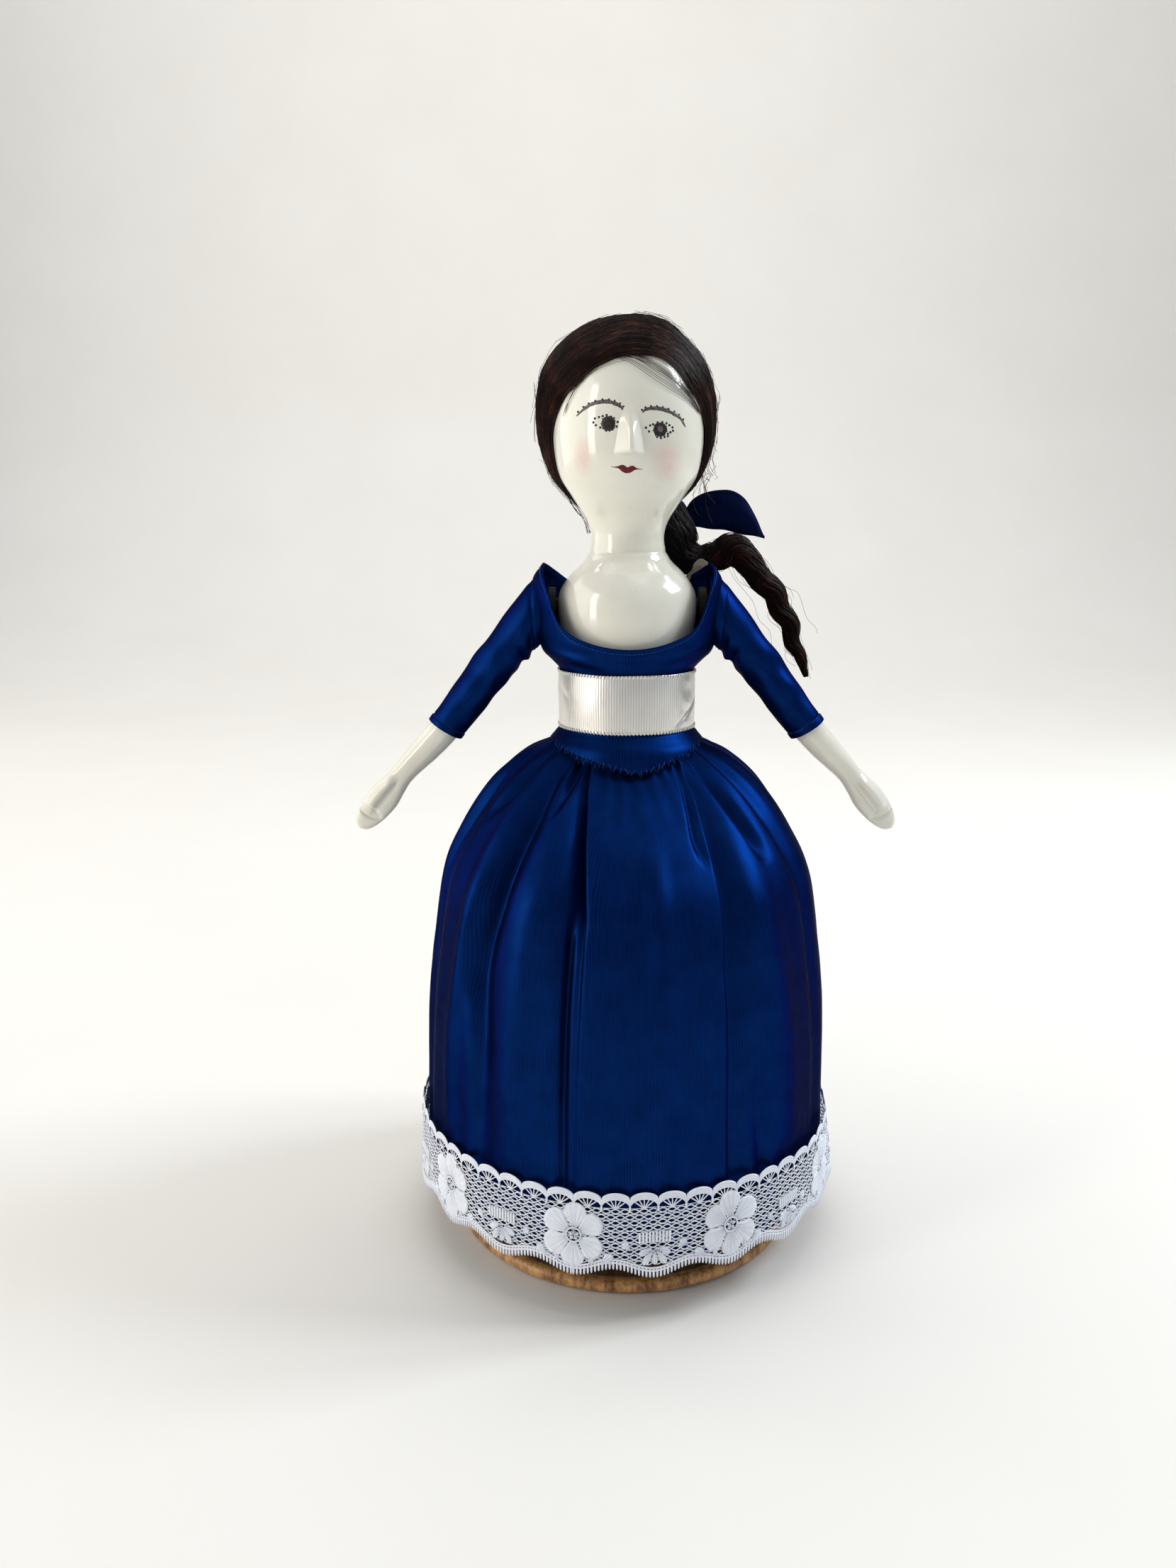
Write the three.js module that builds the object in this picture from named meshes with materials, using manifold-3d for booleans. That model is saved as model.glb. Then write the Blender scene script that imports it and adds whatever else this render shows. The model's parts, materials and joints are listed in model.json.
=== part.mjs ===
// A 14 inch turned wooden dressing doll in a navy satin gown, fixed to a round wooden base.
// Millimetres, +Z up. The doll faces -Y, so its own left hand is at +X. The origin is on the
// table under the centre of the base.
//
// One turned piece makes the head, neck, bust and hips. A post, screwed to the base from below,
// holds it up. Each arm hangs on a peg that swivels in the bust and carries a pinned fork joint.
import * as THREE from "three";
import { mergeVertices } from "three/addons/utils/BufferGeometryUtils.js";
import Module from "manifold-3d";

const wasm = await Module();
wasm.setup();

// ---- driving dimensions -------------------------------------------------------------------

const GAP = 0.3; // clearance kept between touching pieces
const CLOTH = 0.8; // thickness of a cloth layer
const ROUND = 32; // facets round a large turned piece
const FINE = 20; // facets round a slim piece
const SIDES = { left: 1, right: -1 }; // the doll's own sides, as the sign of X

const FELT = { radius: 64, thick: 1 };
const BASE = { radius: 69.5, bottom: 1, top: 6.4, rimWidth: 5.2, groove: 1.1 };
const SCREW = { radius: 1.8, headRadius: 3.9, headThick: 2.2, length: 34 };
const WASHER = { radius: 5.2, thick: 0.8 };
const POST = { radius: 7, top: 186, pilotDepth: 32 };

const HEAD = { top: 351, radius: 27.9 };
const TORSO_BOTTOM = 152;
const PEG = { z: 250, radius: 3, tip: 12, discFrom: 27.4, discTo: 30, discRadius: 7.2 };
const TONGUE = { halfThick: 2, radius: 4.4 };
const PIN = { x: 36, radius: 1.4, halfLength: 5.2 };

const ARM = { slope: 51.4, length: 112, slotHalf: 2.4, slotTo: 6.6 };
const SLEEVE = { startX: 33.8, startZ: 248.6, slope: 52, cuff: 65.5 };

const SASH = { bottom: 204.2, top: 226.2, radius: 26.7, thick: 0.6 };
const NECKLINE = { z: 266, halfWidth: 27.2, front: 236, back: 250 };
const BODICE_EDGE = { side: 200.4, point: 191, halfWidth: 27 };
const ARMHOLE = { z: 248.6, halfHeight: 12.6, halfDepth: 10.8 };

const SKIRT_HEM = 24;
const LACE = { bottom: 18, top: 51, radius: 83, thick: 0.9 };
const HIP_ROLL = { ring: 34.5, z: 174, radius: 9.5 };

const HAIR = { centreY: 1.5, centreZ: 319, halfWidth: 33.6, halfDepth: 34, halfHeight: 36.2 };
const KNOT = { x: 20, y: 25, z: 279 };

// ---- materials ------------------------------------------------------------------------------

const material = (color, roughness, metalness = 0) =>
  new THREE.MeshStandardMaterial({ color, roughness, metalness });

const ENAMEL = material(0xe8e4d2, 0.12);
const RAW_WOOD = material(0xb98d58, 0.7);
const STAINED_WOOD = material(0x7a4c22, 0.45);
const FELT_CLOTH = material(0x2c3a2c, 0.95);
const STEEL = material(0x9a9a9a, 0.35, 0.9);
const NAVY_SATIN = material(0x0a2a6a, 0.4);
const WHITE_SATIN = material(0xe2e0d8, 0.35);
const CREAM_COTTON = material(0xd9d2bb, 0.85);
const WHITE_LACE = material(0xdfe2e6, 0.8);
const BROWN_HAIR = material(0x2e1a12, 0.5);
const NAVY_RIBBON = material(0x0a1534, 0.45);

// ---- shape helpers --------------------------------------------------------------------------

// A three.js geometry as a manifold solid.
function solidOf(geometry) {
  const bare = geometry.index ? geometry.toNonIndexed() : geometry.clone();
  bare.deleteAttribute("normal");
  bare.deleteAttribute("uv");
  const merged = mergeVertices(bare, 1e-4);
  return new wasm.Manifold(
    new wasm.Mesh({
      numProp: 3,
      vertProperties: merged.attributes.position.array,
      triVerts: new Uint32Array(merged.index.array),
    }),
  );
}

function geometryOf(solid) {
  const mesh = solid.getMesh();
  const geometry = new THREE.BufferGeometry();
  geometry.setAttribute("position", new THREE.BufferAttribute(mesh.vertProperties, 3));
  geometry.setIndex(new THREE.BufferAttribute(mesh.triVerts, 1));
  return geometry;
}

// A turned solid about Z from [radius, z] pairs, listed from the bottom up.
function turned(profile, facets = ROUND) {
  const points = profile.map(([radius, z]) => new THREE.Vector2(radius, z));
  return new THREE.LatheGeometry(points, facets).rotateX(Math.PI / 2);
}

// A turned ring about Z: the outer [radius, z] pairs from the bottom up, then back down inside.
function turnedRing(outer, thick, facets = ROUND) {
  const inner = outer.map(([radius, z]) => [radius - thick, z]).reverse();
  return turned([...outer, ...inner, outer[0]], facets);
}

// Points on a smooth curve through [a, b] pairs.
function smooth(pairs, count) {
  const curve = new THREE.CatmullRomCurve3(pairs.map(([a, b]) => new THREE.Vector3(a, b, 0)));
  return curve.getPoints(count).map((p) => [Math.max(p.x, 0), p.y]);
}

// A closed solid through rings that all have the same number of points.
function loft(rings) {
  const count = rings[0].length;
  const points = rings.flat();
  const index = [];
  for (let row = 0; row + 1 < rings.length; row++) {
    for (let i = 0; i < count; i++) {
      const a = row * count + i;
      const b = row * count + ((i + 1) % count);
      index.push(a, b, b + count, a, b + count, a + count);
    }
  }
  const last = (rings.length - 1) * count;
  for (let i = 1; i + 1 < count; i++) {
    index.push(0, i + 1, i, last, last + i, last + i + 1);
  }
  const geometry = new THREE.BufferGeometry().setFromPoints(points);
  geometry.setIndex(index);
  return geometry;
}

// A level oval ring, anticlockwise seen from above.
function levelRing(z, halfWidth, halfDepth, facets) {
  return Array.from({ length: facets }, (_, i) => {
    const turn = (2 * Math.PI * i) / facets;
    return new THREE.Vector3(halfWidth * Math.cos(turn), halfDepth * Math.sin(turn), z);
  });
}

// A solid through level ovals, given as [z, half width, half depth] from the bottom up.
function ovalLoft(sections, steps, facets) {
  const curve = new THREE.CatmullRomCurve3(sections.map((s) => new THREE.Vector3(...s)));
  const rings = curve.getPoints(steps).map((p) => levelRing(p.x, p.y, p.z, facets));
  return loft(rings);
}

// An oval ring square to a heading in the XZ plane, for a limb that leaves the body towards +X.
// The slope is how many degrees the heading dips below level.
function limbRing(x, z, slope, halfHeight, halfDepth, facets) {
  const dip = THREE.MathUtils.degToRad(slope);
  return Array.from({ length: facets }, (_, i) => {
    const turn = (2 * Math.PI * i) / facets;
    const rise = halfHeight * Math.sin(turn);
    return new THREE.Vector3(
      x + rise * Math.sin(dip),
      halfDepth * Math.cos(turn),
      z + rise * Math.cos(dip),
    );
  });
}

// A point some way along the arm from its shoulder pin, for the left arm.
function alongArm(distance) {
  const dip = THREE.MathUtils.degToRad(ARM.slope);
  return [PIN.x + distance * Math.cos(dip), PEG.z - distance * Math.sin(dip)];
}

// A cylinder between two values of one axis: "x", "y" or "z".
function rod(axis, from, to, radius, facets = FINE) {
  const geometry = new THREE.CylinderGeometry(radius, radius, to - from, facets);
  geometry.translate(0, (from + to) / 2, 0);
  if (axis === "x") geometry.rotateZ(-Math.PI / 2);
  if (axis === "z") geometry.rotateX(Math.PI / 2);
  return geometry;
}

function block([x0, x1], [y0, y1], [z0, z1]) {
  const geometry = new THREE.BoxGeometry(x1 - x0, y1 - y0, z1 - z0);
  return geometry.translate((x0 + x1) / 2, (y0 + y1) / 2, (z0 + z1) / 2);
}

function ball(x, y, z, halfX, halfY, halfZ, facets = 18) {
  const geometry = new THREE.SphereGeometry(1, facets, Math.round(facets * 0.6));
  return geometry.scale(halfX, halfY, halfZ).translate(x, y, z);
}

// The same piece on the doll's other side.
function mirrored(geometry) {
  const copy = geometry.clone().scale(-1, 1, 1);
  const index = Array.from(copy.index.array);
  for (let i = 0; i < index.length; i += 3) {
    [index[i + 1], index[i + 2]] = [index[i + 2], index[i + 1]];
  }
  copy.setIndex(index);
  return copy;
}

// ---- base and post --------------------------------------------------------------------------

function baseFelt() {
  return turned([[0, 0], [FELT.radius, 0], [FELT.radius, FELT.thick - GAP], [0, FELT.thick - GAP]]);
}

function baseDisc() {
  const { radius, bottom, top, rimWidth, groove } = BASE;
  const halfRim = rimWidth / 2;
  const halfThick = (top - bottom) / 2;
  const bead = Array.from({ length: 7 }, (_, i) => {
    const turn = -Math.PI / 2 + (Math.PI * i) / 6;
    return [radius - halfRim + halfRim * Math.cos(turn), bottom + halfThick * (1 + Math.sin(turn))];
  });
  const inner = radius - rimWidth;
  const disc = turned([
    [0, bottom],
    ...bead,
    [inner, top - groove],
    [inner - 1.6, top - groove],
    [inner - 3.2, top - 0.2],
    [0, top - 0.2],
  ]);
  const spigotHole = rod("z", bottom - 1, top + 1, SCREW.radius + GAP);
  const recessTop = bottom + SCREW.headThick + WASHER.thick + GAP;
  const headHole = rod("z", bottom - 1, recessTop, WASHER.radius + GAP);
  return geometryOf(solidOf(disc).subtract(solidOf(spigotHole)).subtract(solidOf(headHole)));
}

function postWasher() {
  const top = BASE.bottom + SCREW.headThick + WASHER.thick;
  const ring = rod("z", top - WASHER.thick, top, WASHER.radius);
  const hole = rod("z", top - 2, top + 1, SCREW.radius + GAP);
  return geometryOf(solidOf(ring).subtract(solidOf(hole)));
}

function postScrew() {
  const headTop = BASE.bottom + SCREW.headThick - GAP;
  const headBottom = BASE.bottom + GAP;
  return turned(
    [
      [0, headBottom],
      [SCREW.headRadius, headBottom],
      [SCREW.headRadius, headTop],
      [SCREW.radius, headTop],
      [SCREW.radius, SCREW.length - 4],
      [0, SCREW.length],
    ],
    FINE,
  );
}

function standPost() {
  const post = rod("z", BASE.top + GAP, POST.top, POST.radius);
  const pilot = rod("z", BASE.top - 1, BASE.top + POST.pilotDepth, SCREW.radius + GAP);
  return geometryOf(solidOf(post).subtract(solidOf(pilot)));
}

// ---- turned body ----------------------------------------------------------------------------

function torsoProfile() {
  return smooth(
    [
      [21, TORSO_BOTTOM],
      [23.2, 162],
      [23.4, 176],
      [21.2, 190],
      [21.2, 202],
      [23.2, 216],
      [24, 227],
      [25.6, 238],
      [26.5, 249],
      [25.6, 256],
      [21.2, 262.6],
      [15.9, 268],
      [13.8, 274.7],
      [15.2, 281.6],
      [20.6, 290],
      [25.5, 297.8],
      [HEAD.radius - 0.3, 307],
      [HEAD.radius, 316.7],
      [26.4, 328],
      [22.4, 338],
      [14.6, 346.6],
      [7, 350.1],
      [0, HEAD.top],
    ],
    28,
  );
}

function torsoSolid() {
  return solidOf(turned([[0, TORSO_BOTTOM], ...torsoProfile()]));
}

function torso() {
  const postHole = rod("z", TORSO_BOTTOM - 1, POST.top + 1, POST.radius + GAP);
  let body = torsoSolid().subtract(solidOf(postHole));
  for (const side of Object.values(SIDES)) {
    const ends = [side * (PEG.tip - GAP), side * 40].sort((a, b) => a - b);
    body = body.subtract(solidOf(rod("x", ...ends, PEG.radius + GAP).translate(0, 0, PEG.z)));
  }
  return geometryOf(body);
}

// The space the turned body takes up, with clearance round its head.
function bodySpace() {
  const wider = torsoProfile().map(([r, z]) => [r > 0 ? r + GAP : 0, z > 330 ? z + GAP : z]);
  return solidOf(turned([[0, TORSO_BOTTOM], ...wider]));
}

// The nose is a small wedge glued on: narrow at the brow, wide and square at the tip.
function nose() {
  const wedge = (y, z, half) => [
    new THREE.Vector3(-half, y, z),
    new THREE.Vector3(-half * 0.35, y - half * 0.9, z),
    new THREE.Vector3(half * 0.35, y - half * 0.9, z),
    new THREE.Vector3(half, y, z),
    new THREE.Vector3(half, y + 8, z),
    new THREE.Vector3(-half, y + 8, z),
  ];
  const rings = [
    wedge(-28.6, 305.4, 3.6),
    wedge(-28.4, 308, 3.2),
    wedge(-28.1, 315, 2.2),
    wedge(-27, 322.5, 1.5),
  ];
  return geometryOf(solidOf(loft(rings)).subtract(bodySpace()));
}

// ---- shoulders and arms (left side; the right is its mirror) ------------------------------

function shoulderPeg() {
  const shank = solidOf(rod("x", PEG.tip, PEG.discFrom + 0.5, PEG.radius));
  const disc = solidOf(rod("x", PEG.discFrom, PEG.discTo, PEG.discRadius));
  const { halfThick, radius } = TONGUE;
  const neck = solidOf(
    block([PEG.discTo - 0.5, PIN.x], [-halfThick, halfThick], [-radius, radius]),
  );
  const round = solidOf(rod("y", -halfThick, halfThick, radius).translate(PIN.x, 0, 0));
  const pinHole = solidOf(rod("y", -5, 5, PIN.radius + GAP).translate(PIN.x, 0, 0));
  const peg = shank.add(disc).add(neck).add(round).subtract(pinHole);
  return geometryOf(peg).translate(0, 0, PEG.z);
}

function shoulderPin() {
  return rod("y", -PIN.halfLength, PIN.halfLength, PIN.radius, 16).translate(PIN.x, 0, PEG.z);
}

// The arm's sections: distance from the pin, half height and half depth.
const ARM_SECTIONS = [
  [-5.2, 1.6, 1.6],
  [-4.2, 3.6, 4],
  [-1.8, 5, 5.4],
  [3, 5.4, 5.6],
  [22, 5.8, 5.8],
  [50, 6, 6],
  [66, 5.8, 5.7],
  [76, 5.1, 4.9],
  [84, 4.5, 4.1],
  [90, 5.2, 3.7],
  [96, 6.1, 3.4],
  [103, 5.4, 2.8],
  [109, 4.1, 2.1],
  [ARM.length, 2.2, 1.2],
];

function arm() {
  const rings = ARM_SECTIONS.map(([distance, halfHeight, halfDepth]) =>
    limbRing(...alongArm(distance), ARM.slope, halfHeight, halfDepth, FINE),
  );
  const slot = block([-8, ARM.slotTo], [-ARM.slotHalf, ARM.slotHalf], [-9, 9])
    .rotateY(THREE.MathUtils.degToRad(ARM.slope))
    .translate(PIN.x, 0, PEG.z);
  const pinHole = rod("y", -9, 9, PIN.radius + GAP, 16).translate(PIN.x, 0, PEG.z);
  return geometryOf(solidOf(loft(rings)).subtract(solidOf(slot)).subtract(solidOf(pinHole)));
}

// The sleeve's sections: distance along it, dip of its heading, half height and half depth.
const SLEEVE_SECTIONS = [
  [0, 4, 12.8, 11.2],
  [4, 22, 12.6, 11.2],
  [9, 40, 11.6, 10.6],
  [16, 50, 10.4, 9.8],
  [30, SLEEVE.slope, 9.3, 9],
  [46, SLEEVE.slope, 8.2, 8.1],
  [SLEEVE.cuff - 5, SLEEVE.slope, 7.3, 7.3],
];

function sleeveSolid(inset, overrun) {
  const rings = [];
  let [x, z, reached] = [SLEEVE.startX, SLEEVE.startZ, 0];
  for (const [distance, slope, halfHeight, halfDepth] of SLEEVE_SECTIONS) {
    const dip = THREE.MathUtils.degToRad(slope);
    x += (distance - reached) * Math.cos(dip);
    z -= (distance - reached) * Math.sin(dip);
    reached = distance;
    rings.push(limbRing(x, z, slope, halfHeight - inset, halfDepth - inset, FINE));
  }
  if (overrun) {
    rings.unshift(rings[0].map((p) => p.clone().add(new THREE.Vector3(-overrun, 0, 0))));
    const dip = THREE.MathUtils.degToRad(SLEEVE.slope);
    const onward = new THREE.Vector3(Math.cos(dip), 0, -Math.sin(dip)).multiplyScalar(overrun);
    rings.push(rings.at(-1).map((p) => p.clone().add(onward)));
  }
  return solidOf(loft(rings));
}

function sleeve() {
  return geometryOf(sleeveSolid(0, 0).subtract(sleeveSolid(CLOTH, 2)));
}

// ---- gown -------------------------------------------------------------------------------------

// Radius of the skirt at a height, all round but under the bodice's point.
const SKIRT_SIDE = [
  [24.8, 200.8],
  [28.4, 199],
  [32.4, 197.4],
  [42.2, 192.6],
  [54, 182],
  [65, 165],
  [73, 147],
  [77, 121],
  [79.8, 92],
  [80.8, 60],
  [81.6, SKIRT_HEM],
];

// The same at the centre of the front, pressed flatter by the bodice's point.
const SKIRT_FRONT = [
  [24.8, 200.8],
  [25.8, 198],
  [27.4, 194],
  [31.4, 189],
  [43, 180],
  [60, 164],
  [71, 147],
  [76.4, 121],
  [79.4, 92],
  [80.8, 60],
  [81.6, SKIRT_HEM],
];

function skirtShell(inset, thick, rows, hem) {
  const side = smooth(SKIRT_SIDE, rows);
  const front = smooth(SKIRT_FRONT, rows);
  const ring = (row, less) =>
    Array.from({ length: ROUND }, (_, i) => {
      const turn = (2 * Math.PI * i) / ROUND;
      const frontness = Math.max(0, -Math.sin(turn)) ** 1.2;
      const radius = THREE.MathUtils.lerp(side[row][0], front[row][0], frontness) - less;
      const z = Math.max(THREE.MathUtils.lerp(side[row][1], front[row][1], frontness), hem);
      return new THREE.Vector3(radius * Math.cos(turn), radius * Math.sin(turn), z - less * 0.6);
    });
  const walls = (less) => side.map((_, row) => ring(row, less)).reverse();
  const outer = solidOf(loft(walls(inset)));
  const innerRings = walls(inset + thick);
  const drop = new THREE.Vector3(0, 0, -20);
  const rise = new THREE.Vector3(0, 0, 20);
  const inner = solidOf(
    loft([
      innerRings[0].map((p) => p.clone().add(drop)),
      ...innerRings,
      innerRings.at(-1).map((p) => p.clone().add(rise)),
    ]),
  );
  return outer.subtract(inner);
}

function skirt() {
  return geometryOf(skirtShell(0, 1.3, 13, SKIRT_HEM));
}

function petticoat() {
  return geometryOf(skirtShell(2, 1, 9, SKIRT_HEM + 8));
}

// A stuffed crescent tied behind: it holds the skirt out at the sides and back, open in front.
function hipRoll() {
  const steps = 8;
  const stations = Array.from({ length: steps + 1 }, (_, i) => {
    const turn = THREE.MathUtils.degToRad(-30 + (240 * i) / steps);
    const fullness = Math.sqrt(Math.sin((Math.PI * (i + 0.6)) / (steps + 1.2)));
    const { ring, z, radius } = HIP_ROLL;
    return [ring * Math.cos(turn), ring * Math.sin(turn), z, radius * fullness];
  });
  return tapered(stations, 24, 12);
}

function laceTrim() {
  return turnedRing(
    [
      [LACE.radius, LACE.bottom],
      [LACE.radius + 0.2, 36],
      [LACE.radius, LACE.top],
    ],
    LACE.thick,
  );
}

// Half width and half depth of the bodice at each height.
const BODICE_SECTIONS = [
  [189, 30, 31.8],
  [197.5, 28.8, 30.6],
  [201.6, 26.4, 27.2],
  [206, 25.3, 25.3],
  [216, 25.3, 25.3],
  [226.6, 25.5, 25.5],
  [230, 28, 27.2],
  [234, 31.2, 28.4],
  [245, 32.3, 29.2],
  [255, 32.4, 29],
  [262, 31, 26],
  [266.4, 26, 17],
];

function bodiceSolid(inset) {
  const sections = BODICE_SECTIONS.map(([z, width, depth]) => [
    z - inset * 0.6,
    width - inset,
    depth - inset,
  ]);
  return solidOf(ovalLoft(sections, 16, 28));
}

// A prism along Y with an oval outline in the XZ plane.
function ovalPrism(x, z, halfWidth, halfHeight, fromY, toY) {
  const shape = new THREE.Shape();
  shape.absellipse(x, z, halfWidth, halfHeight, 0, 2 * Math.PI);
  const options = { depth: toY - fromY, bevelEnabled: false, curveSegments: 20 };
  return new THREE.ExtrudeGeometry(shape, options).rotateX(Math.PI / 2).translate(0, toY, 0);
}

function necklineCut(widen) {
  const { z, halfWidth, front, back } = NECKLINE;
  const frontCut = ovalPrism(0, z, halfWidth + widen, z - front + widen, -60, 0.1);
  const backCut = ovalPrism(0, z, halfWidth + widen, z - back + widen, 0, 60);
  return solidOf(frontCut).add(solidOf(backCut));
}

function armholeCut() {
  const hole = rod("x", -60, 60, 1).scale(1, ARMHOLE.halfDepth, ARMHOLE.halfHeight);
  return solidOf(hole.translate(0, 0, ARMHOLE.z));
}

// What lies below the bodice's lower edge: level at the back, a shallow point at the front.
function belowBodice() {
  const { side, point, halfWidth } = BODICE_EDGE;
  const outline = new THREE.Shape([
    new THREE.Vector2(-60, 170),
    new THREE.Vector2(60, 170),
    new THREE.Vector2(60, side),
    new THREE.Vector2(halfWidth, side),
    new THREE.Vector2(0, point),
    new THREE.Vector2(-halfWidth, side),
    new THREE.Vector2(-60, side),
  ]);
  const front = new THREE.ExtrudeGeometry(outline, { depth: 60, bevelEnabled: false });
  front.rotateX(Math.PI / 2);
  return solidOf(front).add(solidOf(block([-60, 60], [-1, 60], [170, side])));
}

function bodice() {
  const cavity = bodiceSolid(CLOTH).add(solidOf(rod("z", 180, 225, 24.4, ROUND)));
  const shell = bodiceSolid(0).subtract(cavity).subtract(belowBodice());
  return geometryOf(shell.subtract(necklineCut(0)).subtract(armholeCut()));
}

function bodiceLining() {
  const outer = bodiceSolid(CLOTH + GAP);
  const inner = bodiceSolid(CLOTH + GAP + 0.6);
  const keep = solidOf(block([-50, 50], [-1, 50], [238, 270]));
  const band = outer.subtract(inner).intersect(keep);
  return geometryOf(band.subtract(necklineCut(-0.6)).subtract(armholeCut()));
}

function sash() {
  return turnedRing(
    [
      [SASH.radius, SASH.bottom],
      [SASH.radius, SASH.top],
    ],
    SASH.thick,
  );
}

// ---- hair and bow -----------------------------------------------------------------------------

function hairCap() {
  const { centreY, centreZ, halfWidth, halfDepth, halfHeight } = HAIR;
  const mass = solidOf(ball(0, centreY, centreZ, halfWidth, halfDepth, halfHeight, 26));
  const nape = solidOf(ball(6, 15, 290, 19, 13, 16, 18));
  const face = solidOf(ovalPrism(-1.5, 307, 27, 30, -60, -6));
  const underside = solidOf(block([-60, 60], [-60, 8], [240, 296]));
  return geometryOf(mass.subtract(face).subtract(underside).add(nape).subtract(bodySpace()));
}

// A round solid along a smooth path of [x, y, z, radius] stations.
function tapered(stations, steps, facets) {
  const path = new THREE.CatmullRomCurve3(stations.map(([x, y, z]) => new THREE.Vector3(x, y, z)));
  const radii = new THREE.CatmullRomCurve3(
    stations.map((s, i) => new THREE.Vector3(s[3], i, 0)),
  );
  const frames = path.computeFrenetFrames(steps, false);
  const rings = path.getPoints(steps).map((centre, row) => {
    const radius = radii.getPoint(row / steps).x;
    return Array.from({ length: facets }, (_, i) => {
      const turn = (2 * Math.PI * i) / facets;
      return centre
        .clone()
        .addScaledVector(frames.normals[row], radius * Math.cos(turn))
        .addScaledVector(frames.binormals[row], radius * Math.sin(turn));
    });
  });
  return loft(rings);
}

function hairKnot() {
  const knot = ball(KNOT.x, KNOT.y, KNOT.z, 7, 6, 8.4);
  const clearance = ball(6, 15, 290, 19 + GAP, 13 + GAP, 16 + GAP, 18);
  return geometryOf(solidOf(knot).subtract(solidOf(clearance)).subtract(torsoSolid()));
}

function ponytail() {
  return tapered(
    [
      [28.6, 26, 276, 4.6],
      [35, 26, 275, 5.6],
      [42, 26, 272, 5.6],
      [50, 26, 265, 5],
      [56, 26, 257, 4.6],
      [62, 26, 249, 4.3],
      [66, 26, 240, 3.9],
      [69, 26, 231, 3.2],
      [74, 26, 221, 1.4],
    ],
    20,
    12,
  );
}

// The bow's loops leave the knot of ribbon flat and drop at their ends.
function bowLoop(side) {
  const stations = [
    [0, 0, 2.2, 1.8],
    [4, 2, 5.4, 2.6],
    [12, 4, 8.2, 3.2],
    [20, 2, 8, 3],
    [27, -4, 5.6, 2],
    [31, -9, 1.6, 1],
  ];
  const rings = stations.map(([reach, lift, halfHeight, halfDepth]) =>
    limbRing(reach, lift, 10, halfHeight, halfDepth, 14),
  );
  if (side > 0) return loft(rings).translate(3.4, 0, 0);
  return mirrored(loft(rings).scale(0.62, 1, 0.8).translate(3.4, 0, 0));
}

function bowKnot() {
  return ball(0, 0, 0, 3, 3.4, 4.4, 14);
}

// ---- assembly -----------------------------------------------------------------------------------

const doll = new THREE.Group();

function place(name, geometry, finish, x = 0, y = 0, z = 0) {
  const mesh = new THREE.Mesh(geometry, finish);
  mesh.name = name;
  mesh.position.set(x, y, z);
  doll.add(mesh);
}

place("base_felt", baseFelt(), FELT_CLOTH);
place("base_disc", baseDisc(), STAINED_WOOD);
place("post_washer", postWasher(), STEEL);
place("post_screw", postScrew(), STEEL);
place("stand_post", standPost(), RAW_WOOD);
place("torso", torso(), ENAMEL);
place("nose", nose(), ENAMEL);

for (const [side, sign] of Object.entries(SIDES)) {
  const sided = (geometry) => (sign > 0 ? geometry : mirrored(geometry));
  place(`shoulder_peg_${side}`, sided(shoulderPeg()), RAW_WOOD);
  place(`shoulder_pin_${side}`, sided(shoulderPin()), RAW_WOOD);
  place(`arm_${side}`, sided(arm()), ENAMEL);
  place(`sleeve_${side}`, sided(sleeve()), NAVY_SATIN);
}

place("hip_roll", hipRoll(), CREAM_COTTON);
place("petticoat", petticoat(), CREAM_COTTON);
place("skirt", skirt(), NAVY_SATIN);
place("lace_trim", laceTrim(), WHITE_LACE);
place("bodice", bodice(), NAVY_SATIN);
place("bodice_lining", bodiceLining(), CREAM_COTTON);
place("sash", sash(), WHITE_SATIN);
place("hair_cap", hairCap(), BROWN_HAIR);
place("hair_knot", hairKnot(), BROWN_HAIR);
place("ponytail", ponytail(), BROWN_HAIR);
place("bow_knot", bowKnot(), NAVY_RIBBON, 25, 34.6, 283);
place("bow_loop_left", bowLoop(1), NAVY_RIBBON, 25, 34.6, 283);
place("bow_loop_right", bowLoop(-1), NAVY_RIBBON, 25, 34.6, 283);

export default doll;
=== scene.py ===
"""A turned wooden dressing doll in a navy satin gown, on a round base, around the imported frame.

Lengths are millimetres in the part's frame: +Z up, the doll faces -Y, its own left hand is at +X.
Angles round the doll start at the front and grow towards its own left. Tables give them in
degrees, and what is called turn in the code is in radians.
"""
import json
import math

import bmesh
import bpy
import numpy as np
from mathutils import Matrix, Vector


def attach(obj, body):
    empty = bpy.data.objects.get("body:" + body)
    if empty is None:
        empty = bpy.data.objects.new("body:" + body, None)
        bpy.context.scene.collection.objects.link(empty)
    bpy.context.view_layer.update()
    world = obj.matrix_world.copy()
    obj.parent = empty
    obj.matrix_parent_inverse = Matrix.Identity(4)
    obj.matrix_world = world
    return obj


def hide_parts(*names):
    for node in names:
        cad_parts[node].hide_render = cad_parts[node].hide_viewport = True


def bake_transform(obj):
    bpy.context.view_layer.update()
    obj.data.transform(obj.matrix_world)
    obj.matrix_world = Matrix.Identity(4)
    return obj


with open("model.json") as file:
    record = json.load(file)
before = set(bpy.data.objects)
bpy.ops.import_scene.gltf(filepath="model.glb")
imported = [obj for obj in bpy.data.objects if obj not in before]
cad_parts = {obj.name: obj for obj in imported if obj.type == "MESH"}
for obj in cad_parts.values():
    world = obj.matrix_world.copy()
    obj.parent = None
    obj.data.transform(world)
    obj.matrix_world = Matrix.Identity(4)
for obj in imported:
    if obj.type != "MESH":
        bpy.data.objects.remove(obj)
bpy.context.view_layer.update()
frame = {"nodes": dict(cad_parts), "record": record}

MM = 0.001
random = np.random.default_rng(14)


# ---- curves and nets ----------------------------------------------------------------------


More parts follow.
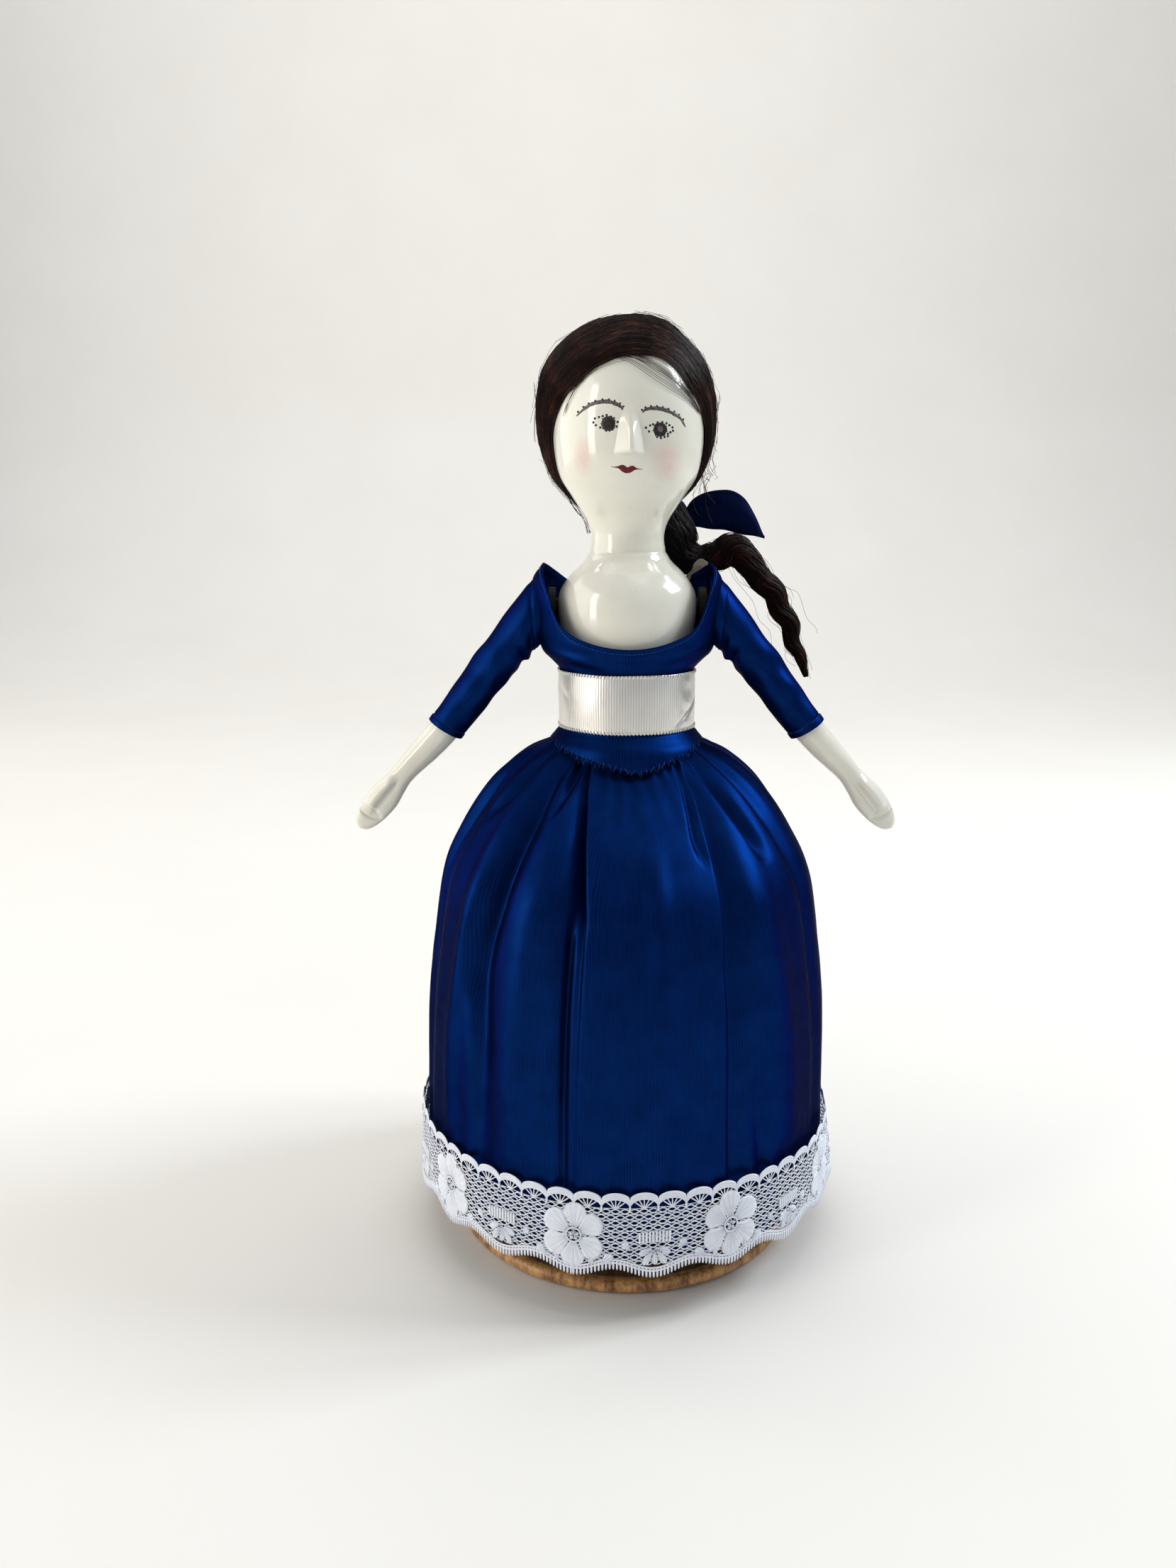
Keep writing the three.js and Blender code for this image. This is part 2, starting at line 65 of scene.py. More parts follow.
def smooth_path(points, count):
    """Points along a smooth curve through the given ones, evenly spread between them."""
    p = np.array(points, float)
    p = np.vstack([2 * p[0] - p[1], p, 2 * p[-1] - p[-2]])
    t = np.linspace(0, len(points) - 1, count)
    i = np.minimum(t.astype(int), len(points) - 2)
    f = (t - i)[:, None]
    a, b, c, d = p[i], p[i + 1], p[i + 2], p[i + 3]
    return b + 0.5 * f * ((c - a) + f * ((2 * a - 5 * b + 4 * c - d) + f * (3 * (b - c) + d - a)))


def table(points):
    """A function that follows a smooth curve through (input, value, ...) points."""
    dense = smooth_path(points, 24 * len(points))
    order = np.argsort(dense[:, 0])
    dense = dense[order]
    columns = [dense[:, k] for k in range(1, dense.shape[1])]

    def read(x):
        values = [np.interp(x, dense[:, 0], column) for column in columns]
        return values[0] if len(values) == 1 else values

    return read


def ease(x):
    """0 below 0, 1 above 1, and a smooth step between."""
    x = np.clip(x, 0, 1)
    return x * x * (3 - 2 * x)


def hump(x, centre, width):
    """A smooth bump of height 1 at the centre."""
    return np.exp(-(((x - centre) / width) ** 2))


def unit(vectors):
    return vectors / np.maximum(np.linalg.norm(vectors, axis=-1, keepdims=True), 1e-9)


def run_length(points):
    """How far along a path each of its points lies."""
    return np.concatenate([[0], np.cumsum(np.linalg.norm(np.diff(points, axis=0), axis=1))])


def full_turn(count):
    return 2 * np.pi * np.arange(count) / count


def around(turn, radius, z, deep=None):
    """Points round the doll's axis; deep is the reach to front and back if it isn't round."""
    deep = radius if deep is None else deep
    return np.stack(np.broadcast_arrays(radius * np.sin(turn), -deep * np.cos(turn), z), -1)


def on_cloth(along, down):
    """Where points lie on their flat cloth."""
    return np.stack(np.broadcast_arrays(along, down, 0.0), -1)


def ripple(x, y, seed, octaves=3):
    """Soft repeatable noise from a few crossed waves, about -1 to 1."""
    waves = np.random.default_rng(seed)
    total = 0
    for octave in range(octaves):
        for _ in range(3):
            kx, ky = waves.normal(0, 1.6**octave, 2)
            total = total + np.sin(kx * x + ky * y + waves.uniform(0, 6.28)) / 1.5**octave
    return total / 4


class Net:
    """Points, faces, and where each point lies on its own flat cloth."""

    def __init__(self):
        self.points, self.flat, self.faces, self.count = [], [], [], 0

    def _add(self, points, flat, faces):
        points = np.asarray(points, float).reshape(-1, 3)
        flat = points if flat is None else np.asarray(flat, float).reshape(-1, 3)
        self.points.append(points)
        self.flat.append(flat)
        self.faces.extend((faces + self.count).tolist())
        start, self.count = self.count, self.count + len(points)
        return start

    def grid(self, rows, wrap=False, flat=None, flip=False):
        """Rows of points joined by quads; wrap joins the two ends of each row."""
        rows = np.asarray(rows, float)
        high, wide = rows.shape[:2]
        i = np.arange(wide if wrap else wide - 1)
        a = (np.arange(high - 1) * wide)[:, None] + i
        b = (np.arange(high - 1) * wide)[:, None] + (i + 1) % wide
        quads = np.stack([a, b, b + wide, a + wide], -1).reshape(-1, 4)
        return self._add(rows, flat, quads[:, ::-1] if flip else quads)

    def cap(self, first, count, flip=False):
        """One face over a ring of points that are already there."""
        ring = list(range(first, first + count))
        self.faces.append(ring[::-1] if flip else ring)

    def closed(self, rows, flat=None, flip=False):
        """Rings of points joined into a tube, with a face at either end."""
        rows = np.asarray(rows, float)
        long, wide = rows.shape[:2]
        first = self.grid(rows, wrap=True, flat=flat, flip=flip)
        self.cap(first, wide, flip=not flip)
        self.cap(first + (long - 1) * wide, wide, flip=flip)

    def tubes(self, paths, radii, sides=3, up=(0.31, 0.2, 0.93), thick=1.0):
        """A closed thread along each path; thick is its size along up, as a share of its width."""
        paths = np.asarray(paths, float)
        many, long = paths.shape[:2]
        radii = np.broadcast_to(radii, (many, long))[..., None, None]
        along = unit(np.gradient(paths, axis=1))
        across = unit(np.cross(along, np.asarray(up, float)))
        over = np.cross(across, along) * thick
        turn = 2 * np.pi * (np.arange(sides) + 0.5) / sides
        ring = np.cos(turn)[:, None] * across[:, :, None] + np.sin(turn)[:, None] * over[:, :, None]
        points = paths[:, :, None] + radii * ring
        flat = np.zeros(points.shape)
        flat[..., 0] = np.linspace(0, 1, long)[:, None] * 30
        flat[..., 1] = random.uniform(0, 40, (many, 1, 1))
        i = np.arange(sides)
        a = ((np.arange(many)[:, None] * long + np.arange(long - 1)) * sides)[..., None]
        quads = np.stack([a + i, a + (i + 1) % sides, a + (i + 1) % sides + sides, a + i + sides], -1)
        start = self._add(points, flat, quads.reshape(-1, 4))
        for k in range(many):
            self.cap(start + k * long * sides, sides, flip=True)
            self.cap(start + ((k + 1) * long - 1) * sides, sides)

    def bend(self, mapping):
        """Moves every point by a function of the array of points."""
        self.points = [mapping(points) for points in self.points]

    def object(self, name, material):
        """The net as a smooth object in the scene, with its flat cloth as an attribute."""
        mesh = bpy.data.meshes.new(name)
        points = np.vstack(self.points) * MM
        mesh.from_pydata(points.tolist(), [], self.faces)
        flat = mesh.attributes.new("flat", "FLOAT_VECTOR", "POINT")
        flat.data.foreach_set("vector", (np.vstack(self.flat) * MM).ravel())
        mesh.validate()
        mesh.update()
        mesh.materials.append(material)
        mesh.shade_smooth()
        made = bpy.data.objects.new(name, mesh)
        bpy.context.scene.collection.objects.link(made)
        return made


def apply_modifiers(piece):
    """Makes a piece's modifiers part of its mesh."""
    bpy.context.view_layer.update()
    graph = bpy.context.evaluated_depsgraph_get()
    mesh = bpy.data.meshes.new_from_object(piece.evaluated_get(graph))
    piece.modifiers.clear()
    piece.data = mesh


def thicken(piece, thick):
    """Gives cloth its thickness, inwards from the outer face."""
    solid = piece.modifiers.new("thickness", "SOLIDIFY")
    solid.thickness = thick * MM
    solid.offset = -1
    solid.use_even_offset = False
    apply_modifiers(piece)
    piece.data.shade_smooth()
    return piece


def cut(piece, *tools):
    """Takes the tools' space out of a closed piece."""
    for tool in tools:
        knife = piece.modifiers.new("cut", "BOOLEAN")
        knife.operation = "DIFFERENCE"
        knife.solver = "EXACT"
        knife.object = tool
        apply_modifiers(piece)
        bpy.data.objects.remove(tool)
    piece.data.shade_smooth()


def turned(profile, facets):
    """A closed lathe net from (radius, height) points that start and end on the axis."""
    radius, z = (column[1:-1, None] for column in np.array(profile, float).T)
    net = Net()
    net.closed(around(full_turn(facets), radius, z))
    return net


def rod(axis, centre, low, high, radius, facets=32):
    """A plain closed rod along X or Y, used as a drill."""
    turn = full_turn(facets)
    u, v = radius * np.cos(turn), radius * np.sin(turn)
    rows = []
    for end in (low, high):
        x, y = (end + 0 * u, u) if axis == "x" else (-u, end + 0 * u)
        rows.append(np.stack([x, y, v], -1) + centre)
    net = Net()
    net.closed(rows)
    return net


# ---- materials ------------------------------------------------------------------------------


def srgb(red, green, blue):
    """A colour seen on a screen, 0 to 255, as the linear colour a shader takes."""
    c = np.array([red, green, blue]) / 255
    return (*np.where(c <= 0.04045, c / 12.92, ((c + 0.055) / 1.055) ** 2.4), 1.0)


class Look:
    """A procedural material being put together round one Principled shader."""

    def __init__(self, name, **values):
        self.material = bpy.data.materials.new(name)
        self.material.use_nodes = True
        self.tree = self.material.node_tree
        self.shader = self.tree.nodes["Principled BSDF"]
        for key, value in values.items():
            socket = key.replace("_", " ").title().replace("Ior", "IOR")
            self.shader.inputs[socket].default_value = value
        self.place = self.node("TexCoord").outputs["Object"]
        self.flat = self.node("Attribute", attribute_name="flat").outputs["Vector"]
        self.height = None

    def node(self, kind, inputs=(), **settings):
        made = self.tree.nodes.new("ShaderNode" + kind)
        for key, value in settings.items():
            setattr(made, key, value)
        for key, value in dict(inputs).items():
            if isinstance(value, bpy.types.NodeSocket):
                self.tree.links.new(value, made.inputs[key])
            else:
                made.inputs[key].default_value = value
        return made

    def maths(self, operation, a, b=0.5):
        return self.node("Math", {0: a, 1: b}, operation=operation).outputs[0]

    def weighed(self, *parts):
        """The sum of values, each times its share."""
        total = None
        for value, share in parts:
            part = self.maths("MULTIPLY", value, share)
            total = part if total is None else self.maths("ADD", total, part)
        return total

    def scaled(self, where, x, y, z):
        """Coordinates stretched to so many repeats per metre."""
        return self.node("Mapping", {"Vector": where, "Scale": (x, y, z)}).outputs["Vector"]

    def noise(self, where, scale, detail=3.0, rough=0.55):
        inputs = {"Vector": where, "Scale": scale, "Detail": detail, "Roughness": rough}
        return self.node("TexNoise", inputs).outputs["Fac"]

    def wave(self, where, x, y, z=0.0):
        """A sine of 0 to 1 with so many crests per metre along each axis."""
        dot = self.node("VectorMath", {0: where, 1: (x, y, z)}, operation="DOT_PRODUCT")
        turned_by = self.maths("MULTIPLY", dot.outputs["Value"], 2 * math.pi)
        sine = self.maths("SINE", turned_by)
        return self.node("Math", {0: sine, 1: 0.5, 2: 0.5}, operation="MULTIPLY_ADD").outputs[0]

    def between(self, value, low, high, to_low=0.0, to_high=1.0):
        inputs = {"Value": value, "From Min": low, "From Max": high}
        inputs.update({"To Min": to_low, "To Max": to_high})
        return self.node("MapRange", inputs, clamp=True).outputs["Result"]

    def mix(self, share, a, b):
        return self.node("Mix", {"Factor": share, 6: a, 7: b}, data_type="RGBA").outputs[2]

    def near(self, point, reach, squeeze):
        """1 at a point in metres and 0 beyond its reach, which squeeze divides along each axis."""
        shifted = self.node("VectorMath", {0: self.place, 1: point}, operation="SUBTRACT").outputs[0]
        shaped = self.node("VectorMath", {0: shifted, 1: squeeze}, operation="MULTIPLY").outputs[0]
        far = self.node("VectorMath", {0: shaped}, operation="LENGTH").outputs["Value"]
        return self.between(far, 0, reach, 1, 0)

    def set(self, socket, value):
        self.tree.links.new(value, self.shader.inputs[socket])

    def colour(self, value, low, high, dark, bright):
        """Base colour from dark to bright as a value goes from low to high."""
        self.set("Base Color", self.mix(self.between(value, low, high), dark, bright))

    def roughness(self, value, low, high):
        self.set("Roughness", self.between(value, 0.3, 0.7, low, high))

    def bump(self, height, depth_mm, strength=1.0):
        inputs = {"Height": height, "Distance": depth_mm * MM, "Strength": strength}
        if self.height is not None:
            inputs["Normal"] = self.height
        self.height = self.node("Bump", inputs).outputs["Normal"]
        self.set("Normal", self.height)


# Blush on the cheeks: x, height, reach, and how much it is squeezed along each axis.
CHEEKS = ((-16.8, 304, 6.2, (1.5, 0.25, 0.8)), (12.6, 302.4, 7.8, (1.1, 0.25, 0.95)))
CHEEK_FRONT = -23


def enamel(name, blush=False):
    """Glossy cream paint brushed over turned wood."""
    look = Look(name, roughness=0.16, coat_weight=0.7, coat_roughness=0.04, specular_ior_level=0.5)
    cloudy = look.noise(look.place, 45, 3)
    colour = look.mix(look.between(cloudy, 0.35, 0.7), srgb(238, 236, 222), srgb(230, 226, 208))
    specks = look.between(look.noise(look.place, 900, 2), 0.7, 0.78)
    colour = look.mix(look.maths("MULTIPLY", specks, 0.35), colour, srgb(176, 160, 128))
    if blush:
        dabs = look.between(look.noise(look.place, 420, 4, 0.7), 0.25, 0.75, 0.55, 1)
        for x, z, reach, squeeze in CHEEKS:
            near = look.near((x * MM, CHEEK_FRONT * MM, z * MM), reach * MM, squeeze)
            pink = look.maths("MULTIPLY", look.between(near, 0.0, 0.7), dabs)
            colour = look.mix(look.maths("MULTIPLY", pink, 0.46), colour, srgb(226, 160, 156))
    look.set("Base Color", colour)
    look.set("Roughness", look.between(look.noise(look.place, 160, 4), 0.3, 0.75, 0.1, 0.24))
    look.bump(look.noise(look.scaled(look.place, 1, 1, 2.6), 70, 2), 0.5, 0.35)
    look.bump(look.noise(look.place, 700, 3), 0.05, 0.3)
    return look.material


def paint(name, dark, light, scale=1400):
    """Hand-painted lines, with streaks from the brush."""
    look = Look(name, roughness=0.35, coat_weight=0.15, coat_roughness=0.1, specular_ior_level=0.3)
    streaks = look.noise(look.place, scale, 3, 0.65)
    look.colour(streaks, 0.35, 0.68, dark, light)
    look.bump(streaks, 0.04)
    return look.material


def satin(name, dark, bright, twill_mm=0.5, metallic=0.92, roughness=0.4):
    """Woven satin: fine diagonal twill, slubs along the warp, and a gloss of the thread's colour."""
    look = Look(name, metallic=metallic, specular_ior_level=0.15)
    look.shader.inputs["Specular Tint"].default_value = bright
    per_metre = 1000 / twill_mm
    twill = look.wave(look.flat, per_metre * 0.8, per_metre * 0.6)
    warp = look.wave(look.flat, per_metre * 0.5, 0)
    slubs = look.noise(look.scaled(look.flat, 1, 0.07, 1), 1500, 3, 0.6)
    cloudy = look.noise(look.flat, 90, 3)
    weave = look.maths("MULTIPLY", look.maths("ADD", twill, warp), 0.5)
    shade = look.weighed((weave, 0.35), (slubs, 0.3), (cloudy, 0.35))
    look.colour(shade, 0.15, 0.85, dark, bright)
    look.roughness(slubs, roughness - 0.05, roughness + 0.08)
    look.bump(weave, 0.05, 0.6)
    look.bump(slubs, 0.05, 0.5)
    return look.material


def ribbed_ribbon(name, dark, bright):
    """White satin ribbon with fine ribs across it and soft watermarks."""
    look = Look(name, metallic=0.7, specular_ior_level=0.4)
    ribs = look.wave(look.flat, 1000, 0)
    fine = look.wave(look.flat, 0, 2600)
    mottled = look.noise(look.scaled(look.flat, 1, 0.4, 1), 210, 4)
    look.colour(look.weighed((ribs, 0.7), (mottled, 0.3)), 0.1, 0.9, dark, bright)
    look.roughness(mottled, 0.28, 0.36)
    look.bump(ribs, 0.05, 0.7)
    look.bump(fine, 0.02, 0.4)
    look.bump(mottled, 0.2, 0.2)
    return look.material


def cotton(name, dark, bright, thread_mm=0.45):
    """Plain woven cotton."""
    look = Look(name, sheen_weight=0.15)
    per_metre = 1000 / thread_mm
    warp, weft = look.wave(look.flat, per_metre, 0), look.wave(look.flat, 0, per_metre)
    weave = look.maths("MULTIPLY", warp, weft)
    cloudy = look.noise(look.flat, 120, 4)
    look.colour(look.weighed((weave, 0.5), (cloudy, 0.5)), 0.1, 0.8, dark, bright)
    look.roughness(cloudy, 0.75, 0.9)
    look.bump(weave, 0.07)
    return look.material


def thread(name, dark, bright):
    """Twisted yarn, as in lace and topstitching."""
    look = Look(name, specular_ior_level=0.2)
    twist = look.wave(look.place, 1300, 600, 900)
    cloudy = look.noise(look.place, 260, 3)
    look.colour(look.weighed((twist, 0.4), (cloudy, 0.6)), 0.2, 0.8, dark, bright)
    look.roughness(cloudy, 0.55, 0.8)
    look.bump(twist, 0.05, 0.7)
    return look.material


def hair_look(name, dark, middle, light):
    """Dark brown mohair: every strand its own shade, with a silky gloss."""
    look = Look(name, specular_ior_level=0.12)
    strands = look.noise(look.scaled(look.flat, 0.06, 1, 1), 900, 3, 0.7)
    patches = look.noise(look.place, 130, 3)
    shade = look.weighed((strands, 0.7), (patches, 0.3))
    colour = look.mix(look.between(shade, 0.38, 0.56), dark, middle)
    look.colour(shade, 0.54, 0.68, colour, light)
    look.roughness(strands, 0.38, 0.56)
    look.bump(strands, 0.12, 0.8)
    return look.material


def wood(name, dark, bright, roughness, stretch):
    """Straight-grained bare wood with darker pores; stretch is smallest along the grain."""
    look = Look(name)
    grain = look.noise(look.scaled(look.place, *stretch), 330, 5, 0.65)
    pores = look.between(look.noise(look.scaled(look.place, *stretch), 1500, 2), 0.62, 0.72)
    cloudy = look.noise(look.place, 50, 3)
    colour = look.mix(look.between(grain, 0.32, 0.68), dark, bright)
    colour = look.mix(look.maths("MULTIPLY", pores, 0.5), colour, srgb(34, 20, 10))
    look.set("Base Color", look.mix(look.between(cloudy, 0.35, 0.75, 0, 0.3), colour, dark))
    look.roughness(grain, roughness, roughness + 0.2)
    look.bump(grain, 0.12, 0.6)
    look.bump(pores, 0.1, -0.5)
    return look.material


RIM_STARTS, RIM_FULL = 0.0641, 0.0657  # metres from the axis


def base_wood(name):
    """Brown stain on the flat top, rubbed back to golden wood on the rounded rim."""
    look = Look(name, coat_weight=0.25, coat_roughness=0.25)
    out = look.node("VectorMath", {0: look.place, 1: (1, 1, 0)}, operation="MULTIPLY").outputs[0]
    radius = look.node("VectorMath", {0: out}, operation="LENGTH").outputs["Value"]
    ragged = look.maths("MULTIPLY", look.noise(look.place, 240, 3), 0.0016)
    rim = look.between(look.maths("ADD", radius, ragged), RIM_STARTS, RIM_FULL)
    grain = look.noise(look.scaled(look.place, 1, 0.14, 1), 300, 5, 0.65)
    streaks = look.noise(look.scaled(look.place, 1, 1, 0.3), 260, 5, 0.7)
    top = look.mix(look.between(grain, 0.3, 0.7), srgb(58, 38, 24), srgb(116, 84, 52))
    edge = look.mix(look.between(streaks, 0.38, 0.6), srgb(112, 68, 33), srgb(208, 154, 90))
    look.set("Base Color", look.mix(rim, top, edge))
    look.roughness(grain, 0.35, 0.6)
    look.bump(grain, 0.15, 0.6)
    look.bump(streaks, 0.12, 0.5)
    return look.material


def steel(name):
    """Brushed steel."""
    look = Look(name, metallic=0.9)
    brushed = look.noise(look.scaled(look.place, 1, 1, 0.1), 1500, 3)
    look.set("Base Color", look.mix(brushed, srgb(120, 120, 124), srgb(176, 174, 170)))
    look.roughness(brushed, 0.25, 0.45)
    look.bump(brushed, 0.02)
    return look.material


def felt(name):
    """Short dark green fuzz."""
    look = Look(name, sheen_weight=0.5)
    fuzz = look.noise(look.place, 1800, 5, 0.75)
    look.colour(fuzz, 0.3, 0.7, srgb(28, 38, 28), srgb(62, 76, 58))
    look.roughness(fuzz, 0.85, 1)
    look.bump(fuzz, 0.2)
    return look.material


ENAMEL = enamel("enamel")
FACE_ENAMEL = enamel("enamel_with_blush", blush=True)
BROW_PAINT = paint("brow_paint", srgb(58, 48, 49), srgb(120, 106, 106))
IRIS_PAINT = paint("iris_paint", srgb(22, 17, 17), srgb(58, 48, 46), 900)
# A pale mauve-grey patch on the viewer's right iris: a painted reflection.
IRIS_PAINTED_REFLECTION = paint("iris_painted_reflection", srgb(66, 54, 60), srgb(128, 110, 118), 900)
LIP_PAINT = paint("lip_paint", srgb(66, 2, 8), srgb(124, 10, 16), 1100)
NAVY = satin("navy_satin", srgb(2, 13, 45), srgb(8, 47, 114))
RIBBON = satin("navy_ribbon", srgb(4, 10, 31), srgb(12, 26, 64), 0.7, 0.6, 0.46)
SASH_SATIN = ribbed_ribbon("white_satin", srgb(206, 202, 193), srgb(238, 236, 231))
CREAM_COTTON = cotton("cream_cotton", srgb(190, 178, 148), srgb(226, 218, 196))
# Cream cotton given a dim grey-beige: painted shade for the facing's place inside the bodice.
SHADED_FACING = cotton("facing", srgb(104, 97, 86), srgb(146, 138, 122), 0.6)
LACE_THREAD = thread("lace_thread", srgb(218, 224, 237), srgb(247, 249, 253))
NAVY_THREAD = thread("navy_thread", srgb(8, 30, 82), srgb(26, 84, 168))
# Near-black wood for the shoulder pegs: painted shade where they show in the gap beside the bust.
SHADED_PEG_WOOD = wood("peg_wood_painted_shade", srgb(12, 9, 8), srgb(26, 19, 14), 0.7, (0.12, 1, 1))
WHITE_THREAD = thread("white_thread", srgb(232, 230, 225), srgb(252, 252, 250))
HAIR = hair_look("brown_hair", srgb(8, 3, 2), srgb(34, 15, 10), srgb(104, 56, 38))
# A darker copy of the hair for the gathered roll behind the ear: painted shade.
SHADED_HAIR = hair_look("hair_painted_shade", srgb(4, 2, 2), srgb(16, 8, 6), srgb(44, 24, 17))
RAW_WOOD = wood("raw_wood", srgb(150, 110, 68), srgb(206, 170, 120), 0.55, (1, 1, 0.1))
BASE_WOOD = base_wood("stained_wood")
STEEL = steel("steel")
FELT = felt("felt")

CAD_FINISHES = {"felt": FELT, "raw_wood": RAW_WOOD, "steel": STEEL, "enamelled_wood": ENAMEL}


def finish_cad_nodes():
    """The CAD nodes that stay get the materials their slots name; the shoulder pegs get near-black wood
    as painted shade.
    """
    for part in frame["record"]["subparts"]:
        finish = CAD_FINISHES.get(part["material_slot"])
        # The shoulder pegs take the near-black wood as painted shade.
        finish = SHADED_PEG_WOOD if part["node"].startswith("shoulder") else finish
        node = frame["nodes"][part["node"]]
        if finish and not node.hide_render:
            node.data.materials.clear()
            node.data.materials.append(finish)


# ---- turned body ------------------------------------------------------------------------------

BODY_PROFILE = smooth_path(
    [
        (21, 152), (23.2, 162), (23.4, 176), (21.2, 190), (21.2, 202), (23.2, 216), (24, 227),
        (25.6, 238), (26.5, 249), (25.6, 256), (21.2, 262.6), (15.9, 268), (13.8, 274.7),
        (15.2, 281.6), (20.6, 290), (25.5, 297.8), (27.6, 307), (27.9, 316.7), (26.4, 328),
        (22.4, 338), (14.6, 346.6), (7, 350.1), (0.05, 351),
    ],
    260,
)
BODY_FOOT, BODY_TOP = 152, 351
POST_HOLE = (7.3, 186)  # radius, and the height it reaches up to
PEG_HEIGHT, PEG_HOLE, PEG_END = 250, 3.3, 11.7
NECK_RING = 270.4  # height of a fine turned groove


def body_radius(z):
    return np.interp(z, BODY_PROFILE[:, 1], BODY_PROFILE[:, 0])


def on_face(x, z, lift=0.0):
    """Points on the front of the head, raised along its surface's outward direction."""
    x, z = np.asarray(x, float), np.asarray(z, float)
    radius = body_radius(z)
    y = -np.sqrt(np.maximum(radius**2 - x**2, 1.0))
    slope = (body_radius(z + 0.4) - body_radius(z - 0.4)) / 0.8
    out = unit(np.stack([x / radius, y / radius, -slope], -1))
    return np.stack([x, y, z], -1) + out * np.asarray(lift, float)[..., None]


def turned_body():
    """Head, neck, bust and waist in one, with holes for the post and the shoulder pegs."""
    hole_radius, hole_top = POST_HOLE
    hole = [(0, hole_top), (hole_radius, hole_top), (hole_radius, BODY_FOOT)]
    ring = hump(BODY_PROFILE[:, 1], NECK_RING, 0.7)[:, None] * (-0.35, 0)
    net = turned(np.vstack([hole, BODY_PROFILE + ring, [(0, BODY_TOP)]]), 176)
    body = net.object("turned_body", FACE_ENAMEL)
    drills = [
        rod("x", (0, 0, PEG_HEIGHT), *ends, PEG_HOLE).object("drill", FACE_ENAMEL)
        for ends in ((PEG_END, 40), (-40, -PEG_END))
    ]
    cut(body, *drills)
    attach(body, "doll")
    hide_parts("torso")


# Down the nose: height, how far the ridge stands out, half width at its foot.
NOSE = table(
    [
        (303.2, 0, 5), (304.3, 0.7, 5.6), (305.3, 3.3, 5.6), (306.6, 4.3, 5.3), (309, 4.0, 4.8),
        (312, 3.1, 4.2), (315, 2.0, 3.5), (318, 0.9, 2.8), (321.5, 0, 2.3),
    ]
)
NOSE_MIDDLE, RIDGE_ASIDE = -0.7, 0.16


def nose():
    """A wedge with a rounded ridge and a square tip, faired into the head by the paint."""
    z = np.concatenate([np.linspace(303.2, 307.4, 36), np.linspace(307.5, 321.5, 60)])
    across = np.linspace(-1, 1, 81)
    out, half = (value[:, None] for value in NOSE(z))
    spread = np.where(across > RIDGE_ASIDE, across - RIDGE_ASIDE, (RIDGE_ASIDE - across) * 0.72) / 0.84
    rise = np.clip(1 - (spread - 0.09) / 0.75, 0, 1)
    lift = out * (0.85 * rise + 0.15 * ease(rise)) - 0.35 * ease((np.abs(across) - 0.88) / 0.12) - 0.08
    x = NOSE_MIDDLE + across * (half + 0.9)
    rows = on_face(x, z[:, None] + 0 * x, lift)
    under = on_face(x, z[:, None] + 0 * x, -1.6 + 0 * x)
    net = Net()
    net.grid(rows)
    net.grid(under, flip=True)
    piece = net.object("nose_wedge", ENAMEL)
    close_edges(piece)
    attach(piece, "doll")
    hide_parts("nose")


def close_edges(piece):
    """Joins the open borders of two matching layers into one closed skin."""
    work = bmesh.new()
    work.from_mesh(piece.data)
    border = [edge for edge in work.edges if edge.is_boundary]
    bmesh.ops.bridge_loops(work, edges=border)
    bmesh.ops.recalc_face_normals(work, faces=work.faces)
    work.to_mesh(piece.data)
    work.free()


# ---- painted face -----------------------------------------------------------------------------

# The face's lines and spots as (x, height), from the viewer's left to right.
LEFT_BROW = [
    (-19.1, 317.9), (-16.1, 320.3), (-13, 321.8), (-9.2, 322.3), (-6, 321.7), (-3.5, 320.3),
    (-2.9, 319.3),
]
RIGHT_BROW = [
    (3.9, 318.5), (5.3, 319.6), (8.5, 320), (11.7, 319.6), (15, 318.5), (17.7, 316.9),
    (19.5, 314.2),
]
LASH_DOTS = [
    (-11.2, 317.1), (-12.6, 316.7), (-13.1, 315.4), (-12.3, 314.4), (-10.7, 313.6), (-9.9, 317.4),
    (-8.5, 317.7), (-7.3, 317.1), (-6, 316.6), (-4.7, 315.3), (-3.8, 314.1), (-5, 313.8),
    (-6, 313.5), (-8.7, 312.5), (-7.5, 312.5), (-6.5, 312.8), (5.2, 313.4), (6.7, 314.2),
    (6.3, 312.2), (7.7, 314.6), (9.3, 315.3), (11, 315.5), (12.5, 315.1), (13.6, 314.5),
    (14.7, 313.8), (14.9, 312.7), (14, 312.1), (13.1, 311.6), (9.2, 310.4), (10.6, 310.1),
    (11.9, 310.5), (13.1, 310.8),
]
LIPS = [
    (-6.6, 300.3), (-4.6, 300.5), (-3.4, 300.95), (-2.4, 300.9), (-1, 300.15), (0.1, 300.65),
    (1.2, 300.6), (2.1, 299.95), (3.8, 299.5), (2.1, 299.35), (1.1, 298.95), (-0.2, 298.25),
    (-1.8, 298.15), (-3.1, 298.75), (-4.4, 299.8),
]
LIP_LINE = [(-6.9, 300.35), (-3.5, 299.9), (-0.9, 299.75), (1.6, 299.7), (4.3, 299.45)]
LIPS_MIDDLE = np.array((-1.2, 299.5))
IRISES = (((-8.0, 314.9), 3), ((10.3, 312.9), 8))  # centre, and the seed of the ragged edge
IRIS_RADIUS, BROW_HALF_WIDTH = 2.62, 0.72
PAINT_LIFT = 0.09
DOT_RINGS = (0.02, 0.6, 1)


